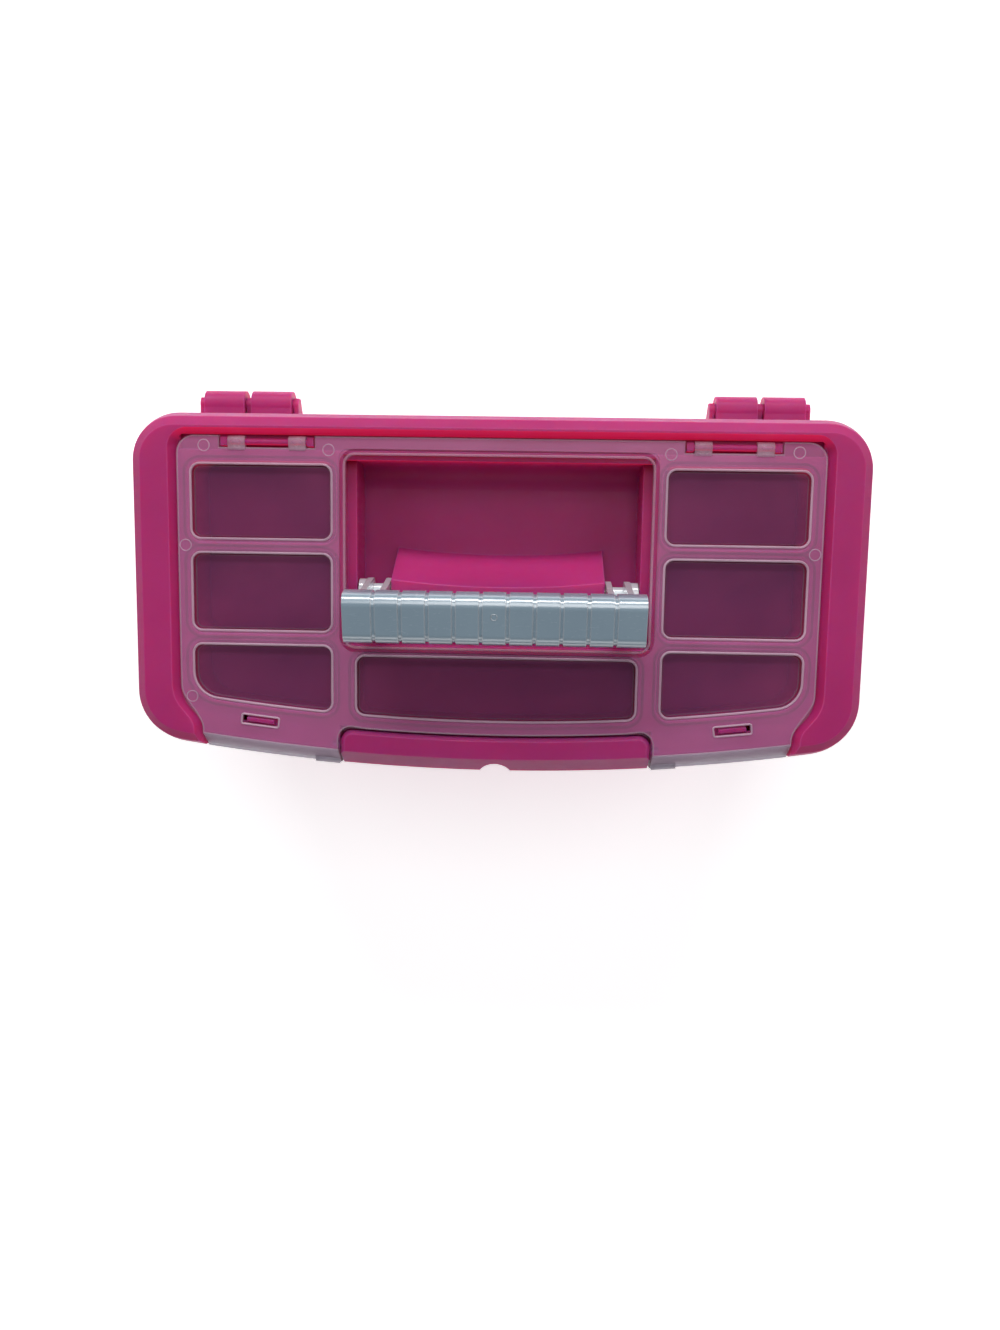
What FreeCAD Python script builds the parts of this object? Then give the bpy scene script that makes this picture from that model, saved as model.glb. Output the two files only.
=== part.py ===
import FreeCAD, Part
import math
import os
import Sketcher

# Sewing box: a drafted body, a hinged lid whose top is an organizer with seven bins and a well for
# the carry handle, a clear organizer cover, a front latch and a lift-out tray with dividers.
# X runs to the right, Y to the back and Z up, from the middle of the flat base. Millimetres.

doc = FreeCAD.newDocument("sewingBox")
dims = doc.addObject("Spreadsheet::Sheet", "dims")

# alias, value, meaning
sizes = [
    ("lidWidth", 320, "lid, side to side at its lower edge"),
    ("backReach", 78, "lid, middle to back face"),
    ("frontReach", 78.4, "lid, middle to the crown of the bowed front"),
    ("bowRadius", 935, "radius of the bowed front"),
    ("cornerBack", 22, "plan radius of the back corners"),
    ("cornerFront", 25, "plan radius of the front corners"),
    ("wall", 2.4, "moulded wall"),
    ("bodyHeight", 92, "floor to the seam between body and lid"),
    ("lidHeight", 45, "seam to the top of the lid's rim"),
    ("lidDraft", 1.2, "lean of the lid's walls over their height"),
    ("bevelWide", 6, "width of the rim's outer bevel"),
    ("bevelDeep", 9, "height of the rim's outer bevel"),
    ("bodySetIn", 4, "body wall inside the lid's outline at the seam"),
    ("bodySetInFront", 7.6, "the same at the front, behind the latch"),
    ("bodyDraft", 5, "lean of the body's walls over their height"),
    ("footBevel", 3, "bevel round the base"),
    ("floorThick", 2.6, "body floor"),
    ("flangeTall", 7, "flange under the seam"),
    ("flangeSetIn", 0.3, "flange inside the lid's outline"),
    ("seamGap", 0.2, "clearance between lid and body"),
    ("lipTall", 3.5, "locating lip that stands inside the lid"),
    ("lipGap", 0.8, "clearance round the locating lip"),
    ("frontStep", 4.7, "set-back of the lid's front wall behind the flaps and latch"),
    ("flapReach", 129.2, "half width of that set-back"),
    ("coverDrop", 3, "rim top down to the cover's top"),
    ("coverThick", 2, "cover plate"),
    ("coverHalf", 138, "half width of the cover"),
    ("coverBack", 67, "back edge of the cover"),
    ("coverCorner", 8, "plan radius of the cover's back corners"),
    ("shoulderStart", 32.4, "where the cover starts to narrow, behind the crown of the front"),
    ("shoulderEnd", 21.4, "where it ends"),
    ("shoulderOuter", 16, "plan radius at that start"),
    ("shoulderInner", 9, "plan radius at that end"),
    ("seatCorner", 5.5, "plan radius of the cover's seat at the back corners"),
    ("rimCorner", 8.5, "the same at the top of the rim"),
    ("coverGap", 0.4, "clearance round the cover"),
    ("rimSlope", 2.4, "lean of the rim's inner face"),
    ("deckGap", 0.2, "clearance under the cover"),
    ("binInner", 69.8, "side bins, inner wall"),
    ("binOuter", 133.4, "side bins, outer wall"),
    ("binBack", 56.5, "back wall of the first bins"),
    ("binDepthOne", 34.7, "first bin, back to front"),
    ("binDepthTwo", 36.5, "second bin, back to front"),
    ("binDivider", 3.1, "wall between two bins"),
    ("binFrontInset", 22.6, "front wall of the front bins, in from the bowed front"),
    ("binDrop", 29, "cover top down to the bin floors"),
    ("binCorner", 5.5, "plan radius of the bins"),
    ("binCornerWide", 13, "plan radius of the outer front bin corner"),
    ("middleHalf", 62.3, "half width of the middle front bin"),
    ("middleBack", -24.9, "back wall of the middle front bin"),
    ("skirtThick", 1.8, "sealing skirts under the cover"),
    ("skirtTall", 2.6, "their depth"),
    ("skirtGap", 0.5, "clearance between skirt and bin"),
    ("wellHalf", 62.4, "half width of the handle well"),
    ("wellTopHalf", 66.6, "half width of the well above its side rails"),
    ("wellBack", 58, "back wall of the well"),
    ("wellFront", -13, "front end of the handle's side slots"),
    ("wellDrop", 33, "cover top down to the well's floor"),
    ("wellScoop", 11, "radius of the well's scooped back corner"),
    ("railDrop", 12, "cover top down to the side rails"),
    ("plateauDrop", 9, "cover top down to the saddle between the handle's arms"),
    ("saddleHalf", 46.8, "half width of the saddle"),
    ("saddleTop", 6.6, "back edge of the saddle's top"),
    ("saddleFoot", 20.8, "foot of the saddle's ramp"),
    ("saddleHollow", 2.8, "how far the ramp dishes in"),
    ("windowHalf", 65.3, "half width of the cover's opening over the well"),
    ("windowBack", 59.2, "its back edge"),
    ("windowFront", -22.3, "its front edge"),
    ("windowCorner", 4, "its corner radius"),
    ("beadWide", 2.6, "bead round the opening"),
    ("beadTall", 0.8, "height of that bead"),
    ("handleY", 1.5, "handle pivot, front to back"),
    ("handleDrop", 18, "cover top down to the handle pivot"),
    ("handleRise", 43, "pivot to the middle of the grip"),
    ("handleLean", 12, "forward lean on its stop, degrees"),
    ("gripLength", 122.7, "grip, end to end"),
    ("gripDepth", 21.4, "grip, front to back"),
    ("gripThick", 13, "grip, top to bottom"),
    ("gripRound", 5, "rounding of the grip's long edges"),
    ("ribPitch", 10.87, "pitch of the grip's bands"),
    ("grooveWide", 1.5, "groove between two bands"),
    ("grooveDeep", 0.6, "depth of the grooves"),
    ("armInner", 47.4, "inner face of each arm"),
    ("armOuter", 58.4, "outer face of each arm"),
    ("armDeep", 11, "arm, front to back"),
    ("webThick", 2.6, "webs of the arms"),
    ("handlePin", 3, "radius of the handle's pins"),
    ("handleBoss", 5, "radius of the bosses round the pins"),
    ("pinGap", 0.05, "radial clearance of a pin in its hole"),
    ("sideGap", 0.4, "clearance beside a moving piece"),
    ("latchHalf", 67.7, "half width of the latch"),
    ("latchGap", 0.6, "clearance beside the latch in its bay"),
    ("latchTopInset", 16.7, "latch, back edge of its top leaf, in from the front"),
    ("notchGap", 1.1, "clearance between the latch's back edge and the cover"),
    ("latchCorner", 5, "rounding of the leaf's corners"),
    ("leafBevel", 1.5, "bevel along the leaf's back edge"),
    ("latchThick", 2.2, "latch plate"),
    ("latchY", -65.6, "latch pivot, front to back"),
    ("latchDrop", 4.4, "cover top down to the latch pivot"),
    ("latchBarrel", 3, "radius of the latch barrel"),
    ("latchPin", 2, "radius of its pins"),
    ("latchFoot", 78, "height of the latch's lower edge"),
    ("bayDeep", 10.6, "cover top down to the bay's floor"),
    ("frontBevelWide", 7.2, "bevel at the front of flaps and latch"),
    ("frontBevelDeep", 8.5, "its height"),
    ("flapFoot", 15, "cover top down to the flaps' lower edge"),
    ("notchRadius", 7.6, "finger notch in the latch"),
    ("notchY", -81.5, "centre of the finger notch"),
    ("notchFoot", 104, "lower end of the finger notch"),
    ("catchDeep", 0.5, "snap bead inside the latch"),
    ("catchHalf", 45, "half width of that bead"),
    ("catchTall", 3.4, "its height"),
    ("hingeX", 117.8, "middle of each lid hinge"),
    ("hingeHalf", 23, "half width of each lid hinge"),
    ("hingeY", 85.5, "lid hinge axis, behind the middle"),
    ("hingeDrop", 3, "lid hinge axis below the seam"),
    ("hingePin", 3, "radius of the hinge pins"),
    ("clipRadius", 6.2, "outer radius of the lid's hinge clips"),
    ("hingeRib", 2.4, "ribs that hold the pins"),
    ("clipMouth", 4.4, "mouth of a hinge clip"),
    ("barX", 98.9, "middle of each cover hinge"),
    ("barHalf", 19.9, "half length of its bar"),
    ("barY", 64.4, "cover hinge axis, behind the middle"),
    ("barDrop", 1.6, "cover top down to the cover hinge axis"),
    ("barRadius", 1.4, "cover hinge bar"),
    ("eyeRadius", 2.4, "eyes of the cover round the bar"),
    ("eyeFar", 16.6, "outer side of an eye from the middle of the hinge"),
    ("eyeWide", 7.2, "width of an eye"),
    ("earWide", 2.8, "ears that hold the bar"),
    ("troughFront", 61.2, "front of the trough under the cover hinges"),
    ("troughDeep", 5.1, "cover top down to the trough's floor"),
    ("slotX", 103.1, "middle of each cover catch"),
    ("slotRoomLong", 1.8, "clearance at each end of a catch in the cover's slot"),
    ("slotRoomWide", 0.9, "clearance at each side of it"),
    ("slotInset", 16.6, "slot, in from the bowed front"),
    ("slotTurn", 6.3, "turn of a slot along the bow, degrees"),
    ("catchLong", 12, "catch tongue of the lid"),
    ("catchThick", 1.8, "its thickness"),
    ("catchHole", 3.2, "hole in the deck at the catch's outer end"),
    ("trayHalf", 147, "half length of the lift-out tray"),
    ("trayFront", -50, "front face of the tray"),
    ("trayBack", 62, "back face of the tray"),
    ("trayTop", 88, "rim of the tray"),
    ("trayFoot", 52, "underside of the tray"),
    ("trayWall", 1.8, "tray walls"),
    ("trayCorner", 10, "plan radius of the tray"),
    ("trayEar", 4, "ledge flange at each end of the tray"),
    ("trayEarHalf", 38, "half width of that flange"),
    ("trayGrip", 46, "half length of the tray's carrying bar"),
    ("trayGripRise", 4, "carrying bar above the tray's rim"),
    ("fingerHalf", 36, "half length of the finger hole under the bar"),
    ("fingerTall", 22, "height of the finger hole"),
    ("barThick", 6, "carrying bar, front to back"),
    ("dividerX", 49, "tray dividers, from the middle"),
    ("dividerThick", 1.6, "removable dividers"),
    ("dividerTall", 30, "their height"),
    ("guideWide", 1.6, "guide ribs beside a divider"),
    ("guideReach", 2.2, "how far the guide ribs stand out"),
    ("fitGap", 0.2, "clearance of dividers and tray ledges"),
]
for row, (alias, value, meaning) in enumerate(sizes, start=1):
    dims.set(f"A{row}", str(value))
    dims.set(f"B{row}", meaning)
    dims.setAlias(f"A{row}", alias)
doc.recompute()

# heights and places that follow from the sheet
rimTop = "(dims.bodyHeight + dims.lidHeight)"
coverTop = f"({rimTop} - dims.coverDrop)"
coverUnder = f"({coverTop} - dims.coverThick)"
deckTop = f"({coverUnder} - dims.deckGap)"
deckUnder = f"({deckTop} - dims.wall)"
halfWidth = "(dims.lidWidth / 2)"
bowCentre = "(dims.bowRadius - dims.frontReach)"
flangeTop = "(dims.bodyHeight - dims.seamGap)"
hingeZ = "(dims.bodyHeight - dims.hingeDrop)"
handleZ = f"({coverTop} - dims.handleDrop)"
latchZ = f"({coverTop} - dims.latchDrop)"
barZ = f"({coverTop} - dims.barDrop)"
binFloor = f"({coverTop} - dims.binDrop)"
wellFloor = f"({coverTop} - dims.wellDrop)"
bayHalf = "(dims.latchHalf + dims.latchGap)"
coverNotchInset = "(dims.latchTopInset + dims.notchGap)"
coverNotchHalf = f"({bayHalf} + dims.sideGap)"
coverNotchRound = "(dims.latchCorner + dims.notchGap)"
slotLong = "(dims.catchLong + 2 * dims.slotRoomLong)"
slotWide = "(dims.catchThick + 2 * dims.slotRoomWide)"
rowOneFront = "(dims.binBack - dims.binDepthOne)"
rowTwoBack = f"({rowOneFront} - dims.binDivider)"
rowTwoFront = f"({rowTwoBack} - dims.binDepthTwo)"
rowThreeBack = f"({rowTwoFront} - dims.binDivider)"


def number(expression):
    return float(dims.evalExpression(expression))


def newBody(label):
    body = doc.addObject("PartDesign::Body", label)
    body.Label = label
    return body


def sketchOn(body, name, offset, role="XY_Plane"):
    sketch = body.newObject("Sketcher::SketchObject", name)
    plane = next(item for item in body.Origin.OriginFeatures if item.Role == role)
    sketch.AttachmentSupport = [(plane, "")]
    sketch.MapMode = "FlatFace"
    sketch.setExpression("AttachmentOffset.Base.z", offset)
    return sketch


def hold(sketch, kind, *where, to=None):
    # one constraint, driven by an expression when it carries a size
    if to is None:
        return sketch.addConstraint(Sketcher.Constraint(kind, *where))
    index = sketch.addConstraint(Sketcher.Constraint(kind, *where, number(to)))
    sketch.setExpression(f"Constraints[{index}]", to)
    return index


def circleArc(centreX, centreY, radius, start, end):
    circle = Part.Circle(FreeCAD.Vector(centreX, centreY, 0), FreeCAD.Vector(0, 0, 1), radius)
    return Part.ArcOfCircle(circle, start, end)


def lineTo(first, second):
    return Part.LineSegment(FreeCAD.Vector(*first, 0), FreeCAD.Vector(*second, 0))


def polygon(body, name, corners, offset, role="XY_Plane"):
    # straight sides through the named corners; a corner with a third entry is rounded
    sketch = sketchOn(body, name, offset, role)
    count = len(corners)
    points = [(number(corner[0]), number(corner[1])) for corner in corners]
    radii = [corner[2] if len(corner) > 2 else None for corner in corners]
    starts = []
    ends = []
    arcs = []
    for i, point in enumerate(points):
        before = points[i - 1]
        after = points[(i + 1) % count]
        inward = math.atan2(before[1] - point[1], before[0] - point[0])
        onward = math.atan2(after[1] - point[1], after[0] - point[0])
        if radii[i] is None:
            ends.append(point)
            starts.append(point)
            arcs.append(None)
            continue
        radius = number(radii[i])
        turn = (onward - inward + math.pi) % (2 * math.pi) - math.pi
        reach = radius / math.tan(abs(turn) / 2)
        middle = inward + turn / 2
        away = radius / math.sin(abs(turn) / 2)
        centre = (point[0] + away * math.cos(middle), point[1] + away * math.sin(middle))
        first = (point[0] + reach * math.cos(inward), point[1] + reach * math.sin(inward))
        second = (point[0] + reach * math.cos(onward), point[1] + reach * math.sin(onward))
        ends.append(first)
        starts.append(second)
        begin = math.atan2(first[1] - centre[1], first[0] - centre[0])
        finish = math.atan2(second[1] - centre[1], second[0] - centre[0])
        leftTurn = turn < 0
        if not leftTurn:
            begin, finish = finish, begin
        if finish < begin:
            finish += 2 * math.pi
        arcs.append((centre, radius, begin, finish, leftTurn))
    sides = [sketch.addGeometry(lineTo(starts[i], ends[(i + 1) % count]), False) for i in range(count)]
    for i, point in enumerate(points):
        mark = sketch.addGeometry(Part.Point(FreeCAD.Vector(*point, 0)), True)
        hold(sketch, "DistanceX", -1, 1, mark, 1, to=corners[i][0])
        hold(sketch, "DistanceY", -1, 1, mark, 1, to=corners[i][1])
        if arcs[i] is None:
            hold(sketch, "Coincident", sides[i - 1], 2, mark, 1)
            hold(sketch, "Coincident", sides[i], 1, mark, 1)
            continue
        centre, radius, begin, finish, leftTurn = arcs[i]
        bend = sketch.addGeometry(circleArc(*centre, radius, begin, finish), False)
        near, far = (1, 2) if leftTurn else (2, 1)
        hold(sketch, "Tangent", sides[i - 1], 2, bend, near)
        hold(sketch, "Tangent", bend, far, sides[i], 1)
        hold(sketch, "Radius", bend, to=radii[i])
        hold(sketch, "PointOnObject", mark, 1, sides[i - 1])
        hold(sketch, "PointOnObject", mark, 1, sides[i])
    return sketch


def tub(body, name, offset, left, right, back, front, radii, bowed=True):
    # rounded rectangle whose front follows the bowed front, set in by front, or lies at y = front
    sketch = sketchOn(body, name, offset)
    low, high, rear = number(left), number(right), number(back)
    frontRight, backRight, backLeft, frontLeft = [number(radius) for radius in radii]
    centreY = number(bowCentre)
    frontRadius = number(f"dims.bowRadius - ({front})") if bowed else None
    if bowed:
        rightY = centreY - math.sqrt((frontRadius - frontRight) ** 2 - (high - frontRight) ** 2)
        leftY = centreY - math.sqrt((frontRadius - frontLeft) ** 2 - (low + frontLeft) ** 2)
        rightAngle = math.atan2(rightY - centreY, high - frontRight)
        leftAngle = math.atan2(leftY - centreY, low + frontLeft)
        side = circleArc(0, centreY, frontRadius, leftAngle, rightAngle)
    else:
        rightY = number(front) + frontRight
        leftY = number(front) + frontLeft
        rightAngle = leftAngle = -math.pi / 2
        side = lineTo((low + frontLeft, number(front)), (high - frontRight, number(front)))
    quarter = math.pi / 2
    shapes = [
        side,
        circleArc(high - frontRight, rightY, frontRight, rightAngle, 0),
        lineTo((high, rightY), (high, rear - backRight)),
        circleArc(high - backRight, rear - backRight, backRight, 0, quarter),
        lineTo((high - backRight, rear), (low + backLeft, rear)),
        circleArc(low + backLeft, rear - backLeft, backLeft, quarter, 2 * quarter),
        lineTo((low, rear - backLeft), (low, leftY)),
        circleArc(low + frontLeft, leftY, frontLeft, 2 * quarter, leftAngle + 4 * quarter),
    ]
    ids = [sketch.addGeometry(shape, False) for shape in shapes]
    for i, item in enumerate(ids):
        hold(sketch, "Tangent", item, 2, ids[(i + 1) % len(ids)], 1)
    hold(sketch, "Vertical", ids[2])
    hold(sketch, "Vertical", ids[6])
    hold(sketch, "Horizontal", ids[4])
    hold(sketch, "DistanceX", -1, 1, ids[2], 1, to=right)
    hold(sketch, "DistanceX", -1, 1, ids[6], 1, to=left)
    hold(sketch, "DistanceY", -1, 1, ids[4], 1, to=back)
    for item, radius in zip((ids[1], ids[3], ids[5], ids[7]), radii):
        hold(sketch, "Radius", item, to=radius)
    if bowed:
        hold(sketch, "PointOnObject", ids[0], 3, -2)
        hold(sketch, "DistanceY", -1, 1, ids[0], 3, to=bowCentre)
        hold(sketch, "Radius", ids[0], to=f"dims.bowRadius - ({front})")
    else:
        hold(sketch, "Horizontal", ids[0])
        hold(sketch, "DistanceY", -1, 1, ids[0], 1, to=front)
    return sketch


def outline(body, name, offset, side, front=None):
    # the box's plan, set in by side at the sides and back and by front at the front
    front = front or side
    corners = (f"dims.cornerFront - ({side})", f"dims.cornerBack - ({side})")
    radii = (corners[0], corners[1], corners[1], corners[0])
    edge = f"{halfWidth} - ({side})"
    return tub(body, name, offset, f"-({edge})", edge, f"dims.backReach - ({side})", front, radii)


def bowStrip(body, name, offset, left, right, outer, inner):
    # strip along the bowed front between two insets
    sketch = sketchOn(body, name, offset)
    centreY = number(bowCentre)
    low, high = number(left), number(right)
    arcs = []
    ends = []
    for inset in (outer, inner):
        radius = number(f"dims.bowRadius - ({inset})")
        start = -math.pi / 2 + math.asin(low / radius)
        finish = -math.pi / 2 + math.asin(high / radius)
        arcs.append(sketch.addGeometry(circleArc(0, centreY, radius, start, finish), False))
        ends.append((centreY - math.sqrt(radius ** 2 - low ** 2), centreY - math.sqrt(radius ** 2 - high ** 2)))
    rightSide = sketch.addGeometry(lineTo((high, ends[0][1]), (high, ends[1][1])), False)
    leftSide = sketch.addGeometry(lineTo((low, ends[1][0]), (low, ends[0][0])), False)
    hold(sketch, "Coincident", arcs[0], 2, rightSide, 1)
    hold(sketch, "Coincident", rightSide, 2, arcs[1], 2)
    hold(sketch, "Coincident", arcs[1], 1, leftSide, 1)
    hold(sketch, "Coincident", leftSide, 2, arcs[0], 1)
    for arc, inset in zip(arcs, (outer, inner)):
        hold(sketch, "PointOnObject", arc, 3, -2)
        hold(sketch, "DistanceY", -1, 1, arc, 3, to=bowCentre)
        hold(sketch, "Radius", arc, to=f"dims.bowRadius - ({inset})")
        hold(sketch, "DistanceX", -1, 1, arc, 1, to=left)
        hold(sketch, "DistanceX", -1, 1, arc, 2, to=right)
    return sketch


def pad(body, sketch, length):
    feature = body.newObject("PartDesign::Pad", sketch.Name + "Pad")
    feature.Profile = sketch
    feature.setExpression("Length", length)
    return feature


def pocket(body, sketch, depth):
    # cuts away from the sketch, against its normal
    feature = body.newObject("PartDesign::Pocket", sketch.Name + "Pocket")
    feature.Profile = sketch
    feature.setExpression("Length", depth)
    return feature


def loft(body, sketches, cut=False):
    kind = "PartDesign::SubtractiveLoft" if cut else "PartDesign::AdditiveLoft"
    feature = body.newObject(kind, sketches[0].Name + "Loft")
    feature.Profile = sketches[0]
    feature.Sections = sketches[1:]
    feature.Ruled = True
    return feature


def block(body, name, x, y, z, cut=False):
    # box between pairs of named places
    kind = "PartDesign::SubtractiveBox" if cut else "PartDesign::AdditiveBox"
    feature = body.newObject(kind, name)
    for size, axis, (low, high) in zip(("Length", "Width", "Height"), "xyz", (x, y, z)):
        feature.setExpression(size, f"({high}) - ({low})")
        feature.setExpression(f".Placement.Base.{axis}", low)
    return feature


def rod(body, name, x, y, z, radius, cut=False):
    # round bar along X
    kind = "PartDesign::SubtractiveCylinder" if cut else "PartDesign::AdditiveCylinder"
    feature = body.newObject(kind, name)
    feature.Placement = FreeCAD.Placement(FreeCAD.Vector(), FreeCAD.Rotation(FreeCAD.Vector(0, 1, 0), 90))
    feature.setExpression("Radius", radius)
    feature.setExpression("Height", f"({x[1]}) - ({x[0]})")
    for axis, place in zip("xyz", (x[0], y, z)):
        feature.setExpression(f".Placement.Base.{axis}", place)
    return feature


def sideSpan(side, near, far):
    # the pair of places near and far from the middle, on the right (1) or the left (-1)
    return (f"{near}", f"{far}") if side > 0 else (f"-({far})", f"-({near})")


sideNames = {1: "Right", -1: "Left"}


def buildBody():
    body = newBody("box_body")
    top = "(dims.bodySetIn)"
    foot = "(dims.bodySetIn + dims.bodyDraft)"
    frontFoot = "(dims.bodySetInFront + dims.bodyDraft)"
    loft(body, [
        outline(body, "baseOutline", "0", f"{foot} + dims.footBevel", f"{frontFoot} + dims.footBevel"),
        outline(body, "footOutline", "dims.footBevel", foot, frontFoot),
        outline(body, "seamOutline", flangeTop, top, "dims.bodySetInFront"),
    ])
    flange = outline(body, "flangeOutline", f"{flangeTop} - dims.flangeTall", "dims.flangeSetIn")
    pad(body, flange, "dims.flangeTall")
    frontCut = bowStrip(body, "flangeFront", "dims.bodyHeight", "-dims.flapReach", "dims.flapReach", "-3",
                        "dims.latchThick + dims.catchDeep + dims.fitGap")
    pocket(body, frontCut, "dims.flangeTall + 2 * dims.seamGap")
    lip = outline(body, "lipOutline", flangeTop, "dims.wall + dims.lipGap",
                  "dims.frontStep + dims.wall + dims.lipGap")
    pad(body, lip, "dims.lipTall + dims.seamGap")
    loft(body, [
        outline(body, "cavityFoot", "dims.floorThick", f"{foot} + dims.wall", f"{frontFoot} + dims.wall"),
        outline(body, "cavityTop", "dims.bodyHeight + 2 * dims.lipTall", f"{top} + dims.wall",
                "dims.bodySetInFront + dims.wall"),
    ], cut=True)
    for side in (1, -1):
        buildBodySide(body, side, sideNames[side])
    return body


def buildBodySide(body, side, name):
    # ledge for the tray, then the hinge pin on its three ribs
    ledgeTop = "dims.trayTop - dims.trayWall - dims.fitGap"
    inner = "dims.trayHalf + dims.fitGap + 0.6"
    outer = f"{halfWidth} - dims.bodySetIn - dims.wall / 2"
    low, high = sideSpan(side, inner, outer)
    block(body, "ledge" + name, (low, high), ("-dims.trayEarHalf + 4", "dims.trayEarHalf + 8"),
          (f"{ledgeTop} - 6", ledgeTop))
    ribs = ("-dims.hingeHalf", "-dims.hingeRib / 2", "dims.hingeHalf - dims.hingeRib")
    middle = f"{side} * dims.hingeX"
    wallBack = "dims.backReach - dims.bodySetIn - dims.wall / 2"
    for place, start in enumerate(ribs):
        corners = [
            (wallBack, f"{hingeZ} - 13"),
            ("dims.hingeY", f"{hingeZ} - dims.hingePin - 0.6"),
            ("dims.hingeY + dims.hingePin", f"{hingeZ} - dims.hingePin + 1"),
            ("dims.hingeY + dims.hingePin", f"{hingeZ} + 1.6"),
            ("dims.hingeY + 1", flangeTop),
            (wallBack, flangeTop),
        ]
        rib = polygon(body, f"rib{name}{place}", corners, f"{middle} + ({start})", "YZ_Plane")
        pad(body, rib, "dims.hingeRib")
    rod(body, "hingePin" + name, (f"{middle} - dims.hingeHalf", f"{middle} + dims.hingeHalf"),
        "dims.hingeY", hingeZ, "dims.hingePin")


def binShapes(body, name, offset, grow):
    # the seven bins in plan, each set in by grow
    sketches = []
    corner = f"dims.binCorner - ({grow})"
    wide = f"dims.binCornerWide - ({grow})"
    rows = [("dims.binBack", rowOneFront), (rowTwoBack, rowTwoFront)]
    for side in (1, -1):
        left, right = sideSpan(side, f"dims.binInner + ({grow})", f"dims.binOuter - ({grow})")
        for place, (back, front) in enumerate(rows):
            sketches.append(tub(body, f"{name}{sideNames[side]}{place}", offset, left, right,
                                f"{back} - ({grow})", f"{front} + ({grow})", (corner,) * 4, bowed=False))
        radii = (wide, corner, corner, corner) if side > 0 else (corner, corner, corner, wide)
        sketches.append(tub(body, f"{name}{sideNames[side]}2", offset, left, right,
                            f"{rowThreeBack} - ({grow})", f"dims.binFrontInset + ({grow})", radii))
    half = f"dims.middleHalf - ({grow})"
    sketches.append(tub(body, name + "Middle", offset, f"-({half})", half, f"dims.middleBack - ({grow})",
                        f"dims.binFrontInset + ({grow})", (corner,) * 4))
    return sketches


def coverPlan(body, name, offset, grow, front, corner):
    # plan of the cover: shoulders narrow to the width of the flaps
    half = f"dims.coverHalf + ({grow})"
    flap = f"dims.flapReach - dims.coverGap + ({grow})"
    corners = [
        (f"-({half})", f"dims.coverBack + ({grow})", corner),
        (f"-({half})", "-dims.frontReach + dims.shoulderStart", "dims.shoulderOuter"),
        (f"-({flap})", "-dims.frontReach + dims.shoulderEnd", "dims.shoulderInner"),
        (f"-({flap})", front),
        (flap, front),
        (flap, "-dims.frontReach + dims.shoulderEnd", "dims.shoulderInner"),
        (half, "-dims.frontReach + dims.shoulderStart", "dims.shoulderOuter"),
        (half, f"dims.coverBack + ({grow})", corner),
    ]
    return polygon(body, name, corners, offset)


def buildLid():
    lid = newBody("lid")
    loft(lid, [
        outline(lid, "lidFoot", "dims.bodyHeight", "0.001"),
        outline(lid, "lidShoulder", f"{rimTop} - dims.bevelDeep", "dims.lidDraft"),
        outline(lid, "lidBevel", f"{rimTop} - dims.bevelDeep / 3", "dims.lidDraft + dims.bevelWide * 0.35"),
        outline(lid, "lidRim", rimTop, "dims.lidDraft + dims.bevelWide"),
    ])
    frontCut = bowStrip(lid, "lidFront", f"{rimTop} + 1", "-dims.flapReach", "dims.flapReach", "-3",
                        "dims.frontStep")
    pocket(lid, frontCut, "dims.lidHeight + 2")
    loft(lid, [
        outline(lid, "hollowFoot", "dims.bodyHeight - 1", "dims.wall", "dims.wall + dims.frontStep"),
        outline(lid, "hollowTop", deckUnder, "dims.wall + dims.lidDraft",
                "dims.wall + dims.lidDraft + dims.frontStep"),
    ], cut=True)
    loft(lid, [
        coverPlan(lid, "seatFoot", deckTop, "dims.coverGap", "-dims.frontReach - 9", "dims.seatCorner"),
        coverPlan(lid, "seatTop", f"{rimTop} + 0.01", "dims.coverGap + dims.rimSlope",
                  "-dims.frontReach - 9", "dims.rimCorner"),
    ], cut=True)
    buildBins(lid)
    buildWell(lid)
    buildLatchBay(lid)
    # bevel under the flaps, parallel to their inner face
    reach = "dims.flapReach"
    room = "dims.coverThick + 0.5"
    loft(lid, [
        bowStrip(lid, "flapRoomTop", coverTop, f"-{reach}", reach, "-3", f"dims.frontBevelWide + {room}"),
        bowStrip(lid, "flapRoomFoot", f"{coverTop} - dims.frontBevelDeep", f"-{reach}", reach, "-3",
                 f"dims.lidDraft * 0.5 + {room}"),
    ], cut=True)
    for side in (1, -1):
        buildLidSide(lid, side, sideNames[side])
    return lid


def buildBins(lid):
    # housings under the deck, then the bins sunk into them
    bottom = f"{binFloor} - dims.wall"
    tall = f"{deckUnder} - ({bottom}) + 1"
    outer = "dims.binOuter + dims.wall"
    back = "dims.binBack + dims.wall"
    radii = ("dims.binCornerWide + dims.wall", "dims.binCorner", "dims.binCorner",
             "dims.binCornerWide + dims.wall")
    housing = tub(lid, "binHousing", bottom, f"-({outer})", outer, back,
                  "dims.binFrontInset - dims.wall", radii)
    pad(lid, housing, tall)
    for sketch in binShapes(lid, "bin", f"{deckTop} + 1", "0"):
        pocket(lid, sketch, f"{deckTop} + 1 - {binFloor}")


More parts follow.
